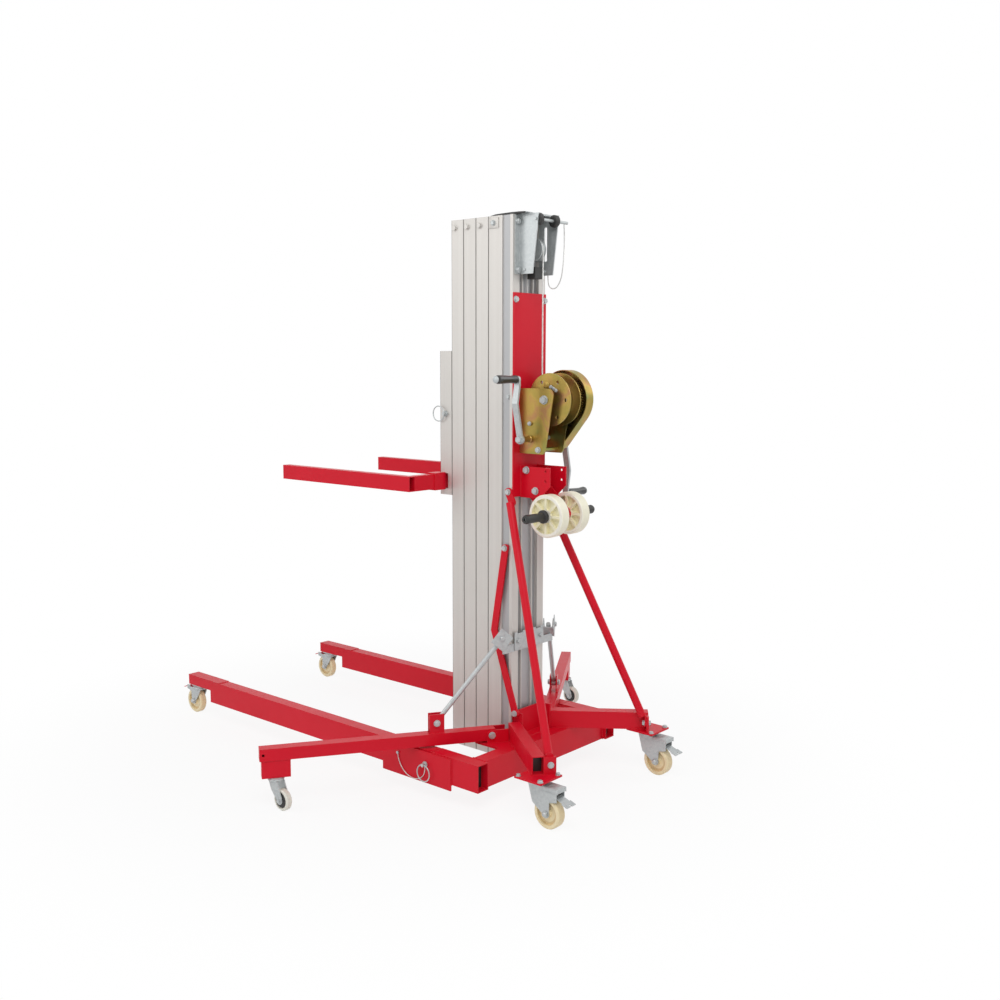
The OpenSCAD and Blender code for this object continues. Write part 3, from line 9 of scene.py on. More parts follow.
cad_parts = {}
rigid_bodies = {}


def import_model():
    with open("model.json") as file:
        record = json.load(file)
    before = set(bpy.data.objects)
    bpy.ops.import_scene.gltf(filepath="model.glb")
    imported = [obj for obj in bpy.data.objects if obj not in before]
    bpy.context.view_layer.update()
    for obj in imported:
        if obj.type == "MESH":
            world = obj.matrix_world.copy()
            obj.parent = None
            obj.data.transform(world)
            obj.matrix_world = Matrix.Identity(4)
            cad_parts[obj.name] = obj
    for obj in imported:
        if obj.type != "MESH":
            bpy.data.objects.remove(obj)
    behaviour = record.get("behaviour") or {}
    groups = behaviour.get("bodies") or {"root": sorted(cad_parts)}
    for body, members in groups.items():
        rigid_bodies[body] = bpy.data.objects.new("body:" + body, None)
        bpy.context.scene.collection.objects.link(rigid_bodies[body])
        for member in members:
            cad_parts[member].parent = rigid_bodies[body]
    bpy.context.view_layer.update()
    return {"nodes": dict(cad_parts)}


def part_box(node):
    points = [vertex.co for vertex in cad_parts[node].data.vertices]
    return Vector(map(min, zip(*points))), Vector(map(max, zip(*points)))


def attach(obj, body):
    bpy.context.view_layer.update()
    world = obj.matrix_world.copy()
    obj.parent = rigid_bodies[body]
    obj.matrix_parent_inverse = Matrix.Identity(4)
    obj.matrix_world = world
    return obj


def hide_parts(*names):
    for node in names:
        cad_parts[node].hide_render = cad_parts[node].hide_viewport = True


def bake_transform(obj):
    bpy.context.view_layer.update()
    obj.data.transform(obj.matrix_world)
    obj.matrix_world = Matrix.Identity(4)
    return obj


for leftover in list(bpy.data.objects):
    bpy.data.objects.remove(leftover)
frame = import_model()

# Lengths are in millimetres, unless a comment says metres. Places are from the foot of the mast's
# rear face: X to the left, Y to the rear, Z up
MM = 0.001
MAST_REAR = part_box("base_column")[1][1]
SIDES = ((1, "left"), (-1, "right"))
ALONG_X = Vector((1, 0, 0))
ALONG_Y = Vector((0, 1, 0))
ALONG_Z = Vector((0, 0, 1))

# Camera fitted to the hoist's own edges, with its place and reach in metres
CAMERA_PLACE = (2.8974, 2.9412, 1.4212)
CAMERA_HEADING = math.radians(220.97)
CAMERA_DIP = math.radians(6.97)
CAMERA_ROLL = math.radians(0.12)
CAMERA_REACH = 200.0
CAMERA_LENS = 40.26
SENSOR_WIDTH = 36.0

# Mast: its column, the tabs on the column's head, the edges of the flute in its sides, and the joints
# between sections
MAST_HALF = 83.5
MAST_TOP = 1900.0
TAB_T = 3.0
FLUTE = (46.0, 12.0)
FIRST_JOINT = 105.75
JOINT_PITCH = 56.0

# Base frame: its tubes, and the cheeks of the sockets that hold the front legs
BASE_TOP = 156.0
BASE_HALF = 371.0
TUBE_WIDTH = 50.0
TUBE_LOW = 66.0
CROSS_REAR = 92.0
CHEEK_END = -9.0
CHEEK_TOP = 152.0

# Rear legs, from the root to the axis of the caster, and the front casters' axes
REAR_LEG_ROOT = Vector((97.5, 24.0))
REAR_CASTER = Vector((304.0, 297.0))
REAR_LEG_WIDTH = 40.0
REAR_LEG_LENGTH = (REAR_CASTER - REAR_LEG_ROOT).length
REAR_LEG_AHEAD = (REAR_CASTER - REAR_LEG_ROOT).normalized()
REAR_LEG_BESIDE = Vector((-REAR_LEG_AHEAD.y, REAR_LEG_AHEAD.x))
FRONT_CASTER = Vector((346.0, -1440.0))

# Stabilisers: each lies in an upright plane, turned and set off from the mast, with the pivot as its zero
STAB_TURN = math.radians(33)
STAB_OFF = 62.0
STAB_REACH = 150.0
STAB_PIVOT = Vector((
    STAB_OFF * math.sin(STAB_TURN) + STAB_REACH * math.cos(STAB_TURN),
    STAB_OFF * math.cos(STAB_TURN) - STAB_REACH * math.sin(STAB_TURN),
    182.0,
))
STAB_TUBE = 40.0
STAB_CASTER = 713.0

# Blocks for the brace rods: middle from a stabiliser's pivot, and the slope of the rod
BLOCK = (-40.0, 320.0)
ROD_RISE = math.atan2(266.0, -226.0)

# Winch axles and the rope sheave's, as Y and Z
DRUM_AXLE = (108.0, 1303.0)
CRANK_AXLE = (50.0, 1173.88)
LAY_AXLE = (50.0, 1224.6)
SHEAVE_AXLE = (25.0, 1790.0)


def at_mast(x, y, z):
    """A point in millimetres from the mast's rear face, in the part's metres."""
    return Vector((x * MM, y * MM + MAST_REAR, z * MM))


def on_rear_leg(side, along, across, up):
    """A point along a rear leg from its root, across it, and up from the base's top."""
    spot = REAR_LEG_ROOT + REAR_LEG_AHEAD * along + REAR_LEG_BESIDE * across
    return at_mast(side * spot.x, spot.y, BASE_TOP + up)


def on_stabiliser(side, along, across, up):
    """A point along a stabiliser from its pivot, across its plane, and up."""
    x = STAB_PIVOT.x + along * math.cos(STAB_TURN) + across * math.sin(STAB_TURN)
    y = STAB_PIVOT.y - along * math.sin(STAB_TURN) + across * math.cos(STAB_TURN)
    return at_mast(side * x, y, STAB_PIVOT.z + up)


def on_block(side, along, across, off):
    """A point from the middle of a rod's block, along the rod, across its plane, and off the rod."""
    out = BLOCK[0] + along * math.cos(ROD_RISE) - off * math.sin(ROD_RISE)
    up = BLOCK[1] + along * math.sin(ROD_RISE) + off * math.cos(ROD_RISE)
    return on_stabiliser(side, out, across, up)


class Value:
    """One socket of a node tree; arithmetic on it adds Math nodes."""

    def __init__(self, tree, socket):
        self.tree = tree
        self.socket = socket

    def other(self, name):
        """Another output of the same node."""
        return Value(self.tree, self.socket.node.outputs[name])

    def _maths(self, operation, *terms):
        return self.tree.node("ShaderNodeMath", {"operation": operation}, dict(enumerate(terms)))

    def __abs__(self):
        return self._maths("ABSOLUTE", self)

    def __add__(self, other):
        return self._maths("ADD", self, other)

    __radd__ = __add__

    def __sub__(self, other):
        return self._maths("SUBTRACT", self, other)

    def __rsub__(self, other):
        return self._maths("SUBTRACT", other, self)

    def __mul__(self, other):
        return self._maths("MULTIPLY", self, other)

    __rmul__ = __mul__

    def __truediv__(self, other):
        return self._maths("DIVIDE", self, other)

    def __rtruediv__(self, other):
        return self._maths("DIVIDE", other, self)


class Tree:
    """A node tree, empty at first, that grows by one method."""

    def __init__(self, node_tree):
        self.node_tree = node_tree
        self.node_tree.nodes.clear()

    def node(self, kind, settings=None, sockets=None, output=0):
        """Adds a node: its settings first, then the values or links of its sockets."""
        made = self.node_tree.nodes.new(kind)
        for name, value in (settings or {}).items():
            if name == "stops":
                self._set_stops(made.color_ramp, value)
            else:
                setattr(made, name, value)
        for key, value in (sockets or {}).items():
            self.feed(made.inputs[key], value)
        return Value(self, made.outputs[output]) if made.outputs else None

    def feed(self, socket, value):
        """Links a value to a socket, or sets a constant on it; a colour is three numbers."""
        if isinstance(value, Value):
            self.node_tree.links.new(value.socket, socket)
        elif socket.type == "RGBA":
            socket.default_value = (*value, 1.0)
        else:
            socket.default_value = value

    @staticmethod
    def _set_stops(ramp, stops):
        while len(ramp.elements) < len(stops):
            ramp.elements.new(0.5)
        for element, (place, colour) in zip(ramp.elements, stops):
            element.position = place
            element.color = (*colour, 1.0)


class Finish(Tree):
    """A surface finish: a Principled material and the patterns that feed it."""

    EDGE_SAMPLES = 4
    WORN = (0.02, 0.25)

    def __init__(self, name, **constants):
        self.material = bpy.data.materials.new(name)
        self.material.use_nodes = True
        super().__init__(self.material.node_tree)
        self.surface = self.node("ShaderNodeBsdfPrincipled", output="BSDF")
        self.node("ShaderNodeOutputMaterial", None, {"Surface": self.surface})
        self.shade(**constants)
        self.place = self.node("ShaderNodeTexCoord", output="Object")

    def noise(self, scale, detail=2.0, stretch=(1, 1, 1), distortion=0.0, lift=0.0):
        """Soft noise on Object coordinates, with its own stretch along each axis."""
        spot = self.node(
            "ShaderNodeMapping", None,
            {"Vector": self.place, "Scale": stretch, "Location": (lift, lift, lift)},
        )
        return self.node(
            "ShaderNodeTexNoise", None,
            {"Vector": spot, "Scale": scale, "Detail": detail, "Distortion": distortion},
        )

    def part(self, vector, axis):
        """A vector's part along one axis."""
        return self.node("ShaderNodeSeparateXYZ", None, {"Vector": vector}, axis)

    def ramp(self, value, *stops):
        """Colours along a value."""
        return self.node("ShaderNodeValToRGB", {"stops": stops}, {"Fac": value})

    def step(self, value, low, high):
        """A soft step from 0 at low to 1 at high."""
        return self.node(
            "ShaderNodeMapRange", {"interpolation_type": "SMOOTHSTEP"},
            {"Value": value, "From Min": low, "From Max": high},
        )

    def mix(self, share, first, second):
        """Mixes two colours."""
        sockets = {0: share, 6: first, 7: second}
        return self.node("ShaderNodeMix", {"data_type": "RGBA"}, sockets, output=2)

    def edge(self, radius):
        """Normal softened over edges to a radius."""
        settings = {"samples": self.EDGE_SAMPLES}
        return self.node("ShaderNodeBevel", settings, {"Radius": radius * MM}, output="Normal")

    def wear(self, soft):
        """1 where the softened normal leaves the true one, on edges; 0 on flats."""
        true = self.node("ShaderNodeNewGeometry", output="Normal")
        settings = {"operation": "DOT_PRODUCT"}
        match = self.node("ShaderNodeVectorMath", settings, {0: soft, 1: true}, "Value")
        return self.step(1 - match, *self.WORN)

    def bump(self, height, depth, soft):
        """Surface texture of a depth over a softened normal."""
        sockets = {"Height": height, "Distance": depth * MM, "Strength": 1.0, "Normal": soft}
        return self.node("ShaderNodeBump", None, sockets, output="Normal")

    def shade(self, **inputs):
        """Feeds inputs of the Principled shader, named with underscores for spaces."""
        sockets = self.surface.socket.node.inputs
        for key, value in inputs.items():
            self.feed(sockets[key.replace("_", " ")], value)


def grey(level):
    return (level, level, level)


def red_powder_coat():
    """Gloss red powder coat: orange peel, a slow drift of tone, thin on the edges."""
    finish = Finish(
        "red_powder_coat", Coat_Weight=0.06, Coat_Roughness=0.16, Specular_IOR_Level=0.18,
    )
    deep = (0.65, 0.003, 0.017)
    bright = (0.75, 0.006, 0.027)
    thin = (0.82, 0.11, 0.11)
    soft = finish.edge(1.2)
    drift = finish.noise(4.0)
    peel = finish.noise(650.0)
    scuff = finish.noise(28.0, 5.0, distortion=0.4)
    finish.shade(
        Base_Color=finish.mix(0.5 * finish.wear(soft), finish.mix(drift, deep, bright), thin),
        Roughness=0.28 + 0.16 * scuff,
        Normal=finish.bump(peel, 0.12, soft),
    )
    return finish.material


def anodised_alloy():
    """Extruded alloy: fine lines along it, rubbed edges, painted shade in the flute, dirt and painted
    shade where sections meet.
    """
    finish = Finish("anodised_alloy", Metallic=0.5)
    dull = (0.53, 0.505, 0.475)
    pale = (0.70, 0.68, 0.65)
    # Painted shade: grey for the recessed flute
    flute_shade_grey = (0.36, 0.375, 0.40)
    # Dirt and painted shade: dark tone for the joints between sections
    dirt_and_shade_tone = (0.085, 0.078, 0.07)
    soft = finish.edge(0.8)
    lines = finish.noise(1.0, 3.0, stretch=(520, 520, 0.9))
    bands = finish.noise(1.0, stretch=(45, 45, 0.35), lift=7.0)
    cloud = finish.noise(9.0, 4.0)
    skin = finish.mix(0.45 * lines + 0.35 * bands + 0.2 * cloud, dull, pale)

    # Painted shade in the flute: a band of the column's sides, set in from the face, tinted a darker grey
    aside = abs(finish.part(finish.place, "X"))
    back = finish.part(finish.place, "Y")
    front_edge, rear_edge = (MAST_REAR - edge * MM for edge in FLUTE)
    behind_front = finish.step(back, front_edge, front_edge + MM)
    before_rear = 1 - finish.step(back, rear_edge - MM, rear_edge)
    set_in = 1 - finish.step(aside, (MAST_HALF - 1) * MM, MAST_HALF * MM)
    skin = finish.mix(0.7 * behind_front * before_rear * set_in, skin, flute_shade_grey)

    # Dirt and painted shade: thin dark bands at the joints between sections, on faces to the sides, from
    # the first joint to the front
    first = MAST_REAR - FIRST_JOINT * MM
    from_joint = finish.node(
        "ShaderNodeMath", {"operation": "PINGPONG"}, {0: back - first, 1: JOINT_PITCH * MM / 2},
    )
    facing = finish.node("ShaderNodeNewGeometry", output="True Normal")
    sideways = finish.step(abs(finish.part(facing, "X")), 0.4, 0.8)
    ahead = 1 - finish.step(back, first + 4 * MM, first + 6 * MM)
    joint_dirt_and_shade = sideways * ahead * (1 - finish.step(from_joint, 1.2 * MM, 3 * MM))

    rubbed = finish.mix(0.4 * finish.wear(soft), skin, grey(0.84))
    finish.shade(
        Base_Color=finish.mix(0.85 * joint_dirt_and_shade, rubbed, dirt_and_shade_tone),
        Roughness=0.38 + 0.14 * lines + 0.06 * cloud,
        Normal=finish.bump(lines, 0.08, soft),
    )
    return finish.material


def bright_zinc():
    """Bright zinc plate: faint spangle, cool grey, brighter on rubbed edges."""
    finish = Finish("bright_zinc", Metallic=0.45)
    dull = (0.40, 0.43, 0.44)
    pale = (0.62, 0.645, 0.64)
    soft = finish.edge(0.8)
    cells = finish.node(
        "ShaderNodeTexVoronoi", {"feature": "F1"}, {"Vector": finish.place, "Scale": 150.0}, "Color",
    )
    flake = finish.node("ShaderNodeSeparateColor", None, {"Color": cells})
    cloud = finish.noise(30.0, 5.0)
    plate = finish.mix(0.35 * flake + 0.55 * cloud, dull, pale)
    finish.shade(
        Base_Color=finish.mix(0.5 * finish.wear(soft), plate, grey(0.82)),
        Roughness=0.27 + 0.1 * flake + 0.16 * cloud,
        Normal=finish.bump(cloud, 0.06, soft),
    )
    return finish.material


def yellow_zinc():
    """Yellow passivated zinc: gold with olive and rose patches."""
    finish = Finish("yellow_zinc", Metallic=0.9)
    olive = (0.24, 0.28, 0.085)
    brass = (0.34, 0.27, 0.065)
    gold = (0.45, 0.31, 0.08)
    rose = (0.43, 0.22, 0.10)
    moss = (0.32, 0.28, 0.10)
    dull = (0.24, 0.18, 0.05)
    rubbed = (0.72, 0.62, 0.34)
    soft = finish.edge(0.8)
    patch = finish.noise(13.0, distortion=0.7)
    grain = finish.noise(240.0, 3.0)
    tint = finish.ramp(patch, (0.30, olive), (0.42, brass), (0.54, gold), (0.64, rose), (0.74, moss))
    plate = finish.mix(0.25 * grain, tint, dull)
    finish.shade(
        Base_Color=finish.mix(0.55 * finish.wear(soft), plate, rubbed),
        Roughness=0.27 + 0.16 * grain + 0.08 * patch,
        Normal=finish.bump(grain, 0.05, soft),
    )
    return finish.material


def black_rubber():
    """Moulded black rubber with a dull, slightly dusty skin."""
    finish = Finish("black_rubber")
    dust = finish.noise(38.0, 4.0)
    skin = finish.noise(900.0)
    finish.shade(
        Base_Color=finish.mix(dust, grey(0.014), (0.036, 0.035, 0.034)),
        Roughness=0.42 + 0.22 * dust,
        Normal=finish.bump(skin, 0.16, finish.edge(1.5)),
    )
    return finish.material


def black_plastic():
    """Gloss black moulded plastic with faint handling marks."""
    finish = Finish("black_plastic", Coat_Weight=0.4, Coat_Roughness=0.1)
    marks = finish.noise(60.0, 4.0)
    finish.shade(
        Base_Color=finish.mix(marks, grey(0.008), grey(0.018)),
        Roughness=0.22 + 0.14 * marks,
        Normal=finish.bump(marks, 0.05, finish.edge(1.2)),
    )
    return finish.material


def rope_steel():
    """Drawn steel wire, pale, with grease in the lay."""
    finish = Finish("rope_steel", Metallic=0.55)
    grime = finish.noise(90.0, 3.0)
    finish.shade(
        Base_Color=finish.mix(grime, (0.58, 0.575, 0.56), (0.88, 0.88, 0.86)),
        Roughness=0.3 + 0.2 * grime,
    )
    return finish.material


def wheel_nylon(node, tones, stain_and_shade, stain_and_shade_band):
    """Cast nylon of one wheel: cloudy tone, turned rings, and stain with painted shade in a band of its
    radius and on the tread.
    """
    low, high = (Vector(corner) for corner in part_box(node))
    finish = Finish(f"nylon_{node}", Coat_Weight=0.12, Coat_Roughness=0.25)
    arm = finish.node(
        "ShaderNodeVectorMath", {"operation": "SUBTRACT"}, {0: finish.place, 1: (low + high) / 2},
    )
    flat = finish.node("ShaderNodeVectorMath", {"operation": "MULTIPLY"}, {0: arm, 1: (0, 1, 1)})
    length = finish.node("ShaderNodeVectorMath", {"operation": "LENGTH"}, {0: flat}, "Value")
    reach = length / ((high.z - low.z) / 2)
    cloud = finish.noise(32.0, 4.0)
    rings = finish.node("ShaderNodeMath", {"operation": "SINE"}, {0: reach * 160.0})
    # Stain and painted shade: a darker ring in a band of the radius, half as strong on the tread
    inner, outer = stain_and_shade_band
    band = finish.step(reach, inner - 0.06, inner) * (1 - finish.step(reach, outer, outer + 0.06))
    tread = finish.step(reach, 0.955, 0.99)
    cast = finish.mix(cloud, *tones)
    finish.shade(
        Base_Color=finish.mix((band + 0.5 * tread) * (0.35 + 0.5 * cloud), cast, stain_and_shade),
        Roughness=0.34 + 0.18 * cloud,
        Normal=finish.bump(rings, 0.04, finish.edge(1.5)),
    )
    return finish.material


FINISHES = {
    "red_paint": red_powder_coat(),
    "mast_alloy": anodised_alloy(),
    "zinc_steel": bright_zinc(),
    "gold_zinc": yellow_zinc(),
    "black_rubber": black_rubber(),
    "rope_steel": rope_steel(),
}
GRIP_FINISH = black_plastic()

# Nylon of each kind of wheel: two tones, the colour of stain and painted shade, and the band of the radius
# that it lies in
CASTER_NYLON = (((0.85, 0.70, 0.41), (0.95, 0.84, 0.58)), (0.66, 0.45, 0.19), (0.58, 0.70))
WHEELS = {
    "rear_wheel": CASTER_NYLON,
    "front_wheel": CASTER_NYLON,
    "side_wheel": (((0.80, 0.79, 0.70), (0.91, 0.90, 0.81)), (0.55, 0.53, 0.44), (0.62, 0.74)),
    "transport_wheel": (((0.95, 0.92, 0.79), (0.98, 0.965, 0.88)), (0.95, 0.88, 0.52), (0.34, 0.80)),
}


def add_camera():
    level = math.cos(CAMERA_DIP)
    look = Vector((
        math.cos(CAMERA_HEADING) * level, math.sin(CAMERA_HEADING) * level, -math.sin(CAMERA_DIP),
    ))
    turn = look.to_track_quat("-Z", "Y").to_matrix() @ Matrix.Rotation(CAMERA_ROLL, 3, "Z")
    lens = bpy.data.cameras.new("camera")
    lens.lens = CAMERA_LENS
    lens.sensor_width = SENSOR_WIDTH
    lens.clip_end = CAMERA_REACH
    camera = bpy.data.objects.new("camera", lens)
    camera.matrix_world = Matrix.Translation(CAMERA_PLACE) @ turn.to_4x4()
    bpy.context.scene.collection.objects.link(camera)
    bpy.context.scene.camera = camera


def smooth(points, steps):
    """A smooth run of points through a few chosen ones, by Catmull-Rom."""
    run = []
    for i in range(len(points) - 1):
        a = points[max(i - 1, 0)]
        b = points[i]
        c = points[i + 1]
        d = points[min(i + 2, len(points) - 1)]
        for k in range(steps):
            t = k / steps
            bend = (2 * a - 5 * b + 4 * c - d) * t ** 2 + (3 * b - a - 3 * c + d) * t ** 3
            run.append(0.5 * (2 * b + (c - a) * t + bend))
    run.append(points[-1])
    return run


def run_length(points):
    return sum((q - p).length for p, q in zip(points, points[1:]))


def even(points, step):
    """The same run with its points an even step apart."""
    count = max(2, round(run_length(points) / step))
    gap = run_length(points) / count
    run = [points[0]]
    due = gap
    for p, q in zip(points, points[1:]):
        length = (q - p).length
        while due <= length and len(run) < count:
            run.append(p.lerp(q, due / length))
            due += gap
        due -= length
    run.append(points[-1])
    return run


def carried_frames(points):
    """A pair of side vectors at each point, carried along without twist."""
    frames = []
    side = None
    for i in range(len(points)):
        ahead = (points[min(i + 1, len(points) - 1)] - points[max(i - 1, 0)]).normalized()
        if side is None:
            side = ahead.orthogonal()
        side = (side - side.dot(ahead) * ahead).normalized()
        frames.append((side, ahead.cross(side)))
    return frames


def add_tube(mesh, points, radius, sides):
    """Sweeps a round tube with closed ends along points."""
    rings = []
    for point, (u, v) in zip(points, carried_frames(points)):
        ring = []
        for k in range(sides):
            turn = 2 * math.pi * k / sides
            ring.append(mesh.verts.new(point + radius * (math.cos(turn) * u + math.sin(turn) * v)))
        rings.append(ring)
    for near, far in zip(rings, rings[1:]):
        for k in range(sides):
            j = (k + 1) % sides
            mesh.faces.new((near[k], near[j], far[j], far[k]))
    mesh.faces.new(reversed(rings[0]))
    mesh.faces.new(rings[-1])


def add_lathe(mesh, centre, axis, profile, segments=40):
    """Turns a closed outline of (radius, distance along the axis) about an axis."""
    u = axis.orthogonal().normalized()
    v = axis.cross(u)
    rings = []
    for radius, along in profile:
        ring = []
        for k in range(segments):
            turn = 2 * math.pi * k / segments
            out = math.cos(turn) * u + math.sin(turn) * v
            ring.append(mesh.verts.new(centre + (along * axis + radius * out) * MM))
        rings.append(ring)
    for near, far in zip(rings, rings[1:] + rings[:1]):
        for k in range(segments):
            j = (k + 1) % segments
            mesh.faces.new((near[k], near[j], far[j], far[k]))


def add_plate(mesh, corners, way, thickness, edge):
    """A flat plate on an outline, thickened to the side that way points to, with broken edges."""
    normal = (corners[1] - corners[0]).cross(corners[2] - corners[1]).normalized()
    if normal.dot(way) < 0:
        normal.negate()
        corners = corners[::-1]
    floor = [mesh.verts.new(corner) for corner in corners]
    roof = [mesh.verts.new(corner + normal * thickness * MM) for corner in corners]
    faces = []
    for k in range(len(corners)):
        faces.append(mesh.faces.new((floor[k], floor[k - 1], roof[k - 1], roof[k])))
    faces.extend((mesh.faces.new(floor), mesh.faces.new(reversed(roof))))
    edges = {line for face in faces for line in face.edges}
    bmesh.ops.bevel(mesh, geom=list(edges), offset=edge * MM, segments=2, affect="EDGES", profile=0.5)


# Points closer than this, in metres, become one, and edges past this angle stay sharp
MERGE = 1e-6
SHARP = math.radians(38)


def finished(name, mesh, slot, body=None):
    """Turns a bmesh into an object with one of the finishes, on a body where one is named."""
    data = bpy.data.meshes.new(name)
    bmesh.ops.remove_doubles(mesh, verts=mesh.verts, dist=MERGE)
    bmesh.ops.recalc_face_normals(mesh, faces=mesh.faces)
    mesh.to_mesh(data)
    mesh.free()
    data.polygons.foreach_set("use_smooth", [True] * len(data.polygons))
    data.set_sharp_from_angle(angle=SHARP)
    data.materials.append(FINISHES[slot])
    piece = bpy.data.objects.new(name, data)
    bpy.context.scene.collection.objects.link(piece)
    if body:
        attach(piece, body)
    return piece


# Ropes are strands laid round a core: strands, length of one turn in diameters, and points to a turn
STRANDS = 6
LAY = 7.0
LAY_STEPS = 9

# Hoist rope: turns on the drum, the rise, the sheave, and the tail as steps back and down from the sheave
ROPE_D = 5.0
ROPE_TURNS = 4
ROPE_TURN_STEPS = 24
ROPE_TURN_PITCH = 1.15 * ROPE_D
DRUM_ROPE_R = 50.0
SHEAVE_ROPE_R = 33.0
SHEAVE_DEGREES = range(0, 181, 15)
ROPE_RISE = range(1363, 1751, 100)
ROPE_TAIL = ((0, 60), (0, 140), (-2, 158), (-8, 172), (-17, 178))
ROPE_SMOOTHING = 3

# Thin wires: the one at the head, and the lanyards of the leg pins as Y and Z
WIRE_D = 4.0
WIRE_ROUTE = (
    (-92, 72, 1876.7), (-93, 73, 1840), (-93, 73, 1800), (-92, 70, 1750), (-90, 64, 1705),
    (-85, 52, 1676), (-79, 38, 1668), (-73, 27, 1676), (-70, 24, 1696), (-69, 24, 1718.7),
)
LANYARD_D = 3.0
LANYARD_X = 379.0
LANYARD_ROUTE = (
    (-250, 116), (-246, 100), (-232, 76), (-208, 57), (-180, 50), (-152, 54), (-132, 68),
    (-123, 86), (-122, 99.7),
)
WIRE_SMOOTHING = 4


def laid_rope(name, route, diameter):
    """A rope of a diameter in metres along a route."""
    pitch = LAY * diameter
    points = even(route, pitch / LAY_STEPS)
    frames = carried_frames(points)
    strand_r = diameter / 6
    centre_r = diameter / 2 - strand_r
    step = run_length(points) / (len(points) - 1)
    mesh = bmesh.new()
    add_tube(mesh, points, strand_r, 6)
    for k in range(STRANDS):
        strand = []
        for i, (point, (u, v)) in enumerate(zip(points, frames)):
            turn = 2 * math.pi * (k / STRANDS + i * step / pitch)
            strand.append(point + centre_r * (math.cos(turn) * u + math.sin(turn) * v))
        add_tube(mesh, strand, strand_r, 6)
    return finished(name, mesh, "rope_steel")


def hoist_rope_route():
    """Turns on the drum, the rise to the sheave, over it and down into the column."""
    run = []
    for i in range(ROPE_TURNS * ROPE_TURN_STEPS + 1):
        left = ROPE_TURNS - i / ROPE_TURN_STEPS
        turn = math.pi + 2 * math.pi * left
        run.append(at_mast(
            -left * ROPE_TURN_PITCH,
            DRUM_AXLE[0] + DRUM_ROPE_R * math.cos(turn),
            DRUM_AXLE[1] - DRUM_ROPE_R * math.sin(turn),
        ))
    for z in ROPE_RISE:
        run.append(at_mast(0, SHEAVE_AXLE[0] + SHEAVE_ROPE_R, z))
    for degrees in SHEAVE_DEGREES:
        turn = math.radians(degrees)
        run.append(at_mast(
            0,
            SHEAVE_AXLE[0] + SHEAVE_ROPE_R * math.cos(turn),
            SHEAVE_AXLE[1] + SHEAVE_ROPE_R * math.sin(turn),
        ))
    for back, drop in ROPE_TAIL:
        run.append(at_mast(0, SHEAVE_AXLE[0] - SHEAVE_ROPE_R + back, SHEAVE_AXLE[1] - drop))
    return smooth(run, ROPE_SMOOTHING)


def add_ropes():
    rope = laid_rope("laid_hoist_rope", hoist_rope_route(), ROPE_D * MM)
    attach(rope, "base")
    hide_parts("hoist_rope")

    route = smooth([at_mast(*point) for point in WIRE_ROUTE], WIRE_SMOOTHING)
    wire = laid_rope("laid_top_wire", route, WIRE_D * MM)
    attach(wire, "base")
    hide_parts("top_wire")
    run_length(route)

    for side, hand in SIDES:
        points = [at_mast(side * LANYARD_X, y, z) for y, z in LANYARD_ROUTE]
        route = smooth(points, WIRE_SMOOTHING)
        lanyard = laid_rope(f"laid_lanyard_{hand}", route, LANYARD_D * MM)
        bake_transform(lanyard)
        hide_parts(f"pin_lanyard_{hand}")
        run_length(route)


class Growth(Tree):
    """A Geometry Nodes tree that repeats a shape on a seed, with named inputs for its sizes in metres."""

    def __init__(self, name, slot, smooth_faces, **sizes):
        super().__init__(bpy.data.node_groups.new(name, "GeometryNodeTree"))
        self.slot = slot
        self.smooth_faces = smooth_faces
        face = self.node_tree.interface
        face.new_socket("Geometry", in_out="OUTPUT", socket_type="NodeSocketGeometry")
        face.new_socket("Seed", in_out="INPUT", socket_type="NodeSocketGeometry")
        for key, value in sizes.items():
            socket = face.new_socket(key, in_out="INPUT", socket_type="NodeSocketFloat")
            socket.default_value = value
        self.entry = self.node("NodeGroupInput")

    def close(self, instances):
        """Makes the instances real and gives them the slot's finish."""
        solid = self.node("GeometryNodeRealizeInstances", None, {"Geometry": instances})
        dressed = self.node(
            "GeometryNodeSetMaterial", None, {"Geometry": solid, "Material": FINISHES[self.slot]},
        )
        self.node("NodeGroupOutput", None, {"Geometry": dressed})
        return self

    def grow(self, name, seed, body, **sizes):
        """Grows the tree on a seed mesh into a plain mesh that rides on a body."""
        holder = bpy.data.objects.new(f"{name}_seed", seed)
        bpy.context.scene.collection.objects.link(holder)
        modifier = holder.modifiers.new("growth", "NODES")
        modifier.node_group = self.node_tree
        for item in self.node_tree.interface.items_tree:
            if item.name in sizes:
                modifier[item.identifier] = sizes[item.name]
        view = bpy.context.evaluated_depsgraph_get()
        data = bpy.data.meshes.new_from_object(holder.evaluated_get(view))
        data.name = name
        data.polygons.foreach_set("use_smooth", [self.smooth_faces] * len(data.polygons))
        bpy.data.objects.remove(holder)
        piece = bpy.data.objects.new(name, data)
        bpy.context.scene.collection.objects.link(piece)
        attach(piece, body)


def weld_bead():
    """Overlapping drops of weld along the seed's lines."""
    tree = Growth("weld_bead", "red_paint", True, Spacing=3 * MM, Radius=2.5 * MM)
    line = tree.node("GeometryNodeMeshToCurve", None, {"Mesh": tree.entry})
    spacing = tree.entry.other("Spacing")
    radius = tree.entry.other("Radius")
    spots = tree.node("GeometryNodeCurveToPoints", {"mode": "LENGTH"}, {"Curve": line, "Length": spacing})
    drop = tree.node("GeometryNodeMeshUVSphere", None, {"Segments": 8, "Rings": 5, "Radius": 1.0})
    size = tree.node("ShaderNodeCombineXYZ", None, {"X": radius, "Y": radius, "Z": 0.85 * spacing})
    drops = tree.node("GeometryNodeInstanceOnPoints", None, {
        "Points": spots, "Instance": drop, "Rotation": spots.other("Rotation"), "Scale": size,
    })
    return tree.close(drops)


# Washer, head and crown of a bolt: sides, then bottom and top radius, depth and foot in thread diameters
BOLT_STEPS = (
    (28, 1.05, 1.05, 0.2, 0.0),
    (6, 0.92, 0.92, 0.5, 0.2),
    (6, 0.92, 0.72, 0.14, 0.7),
)


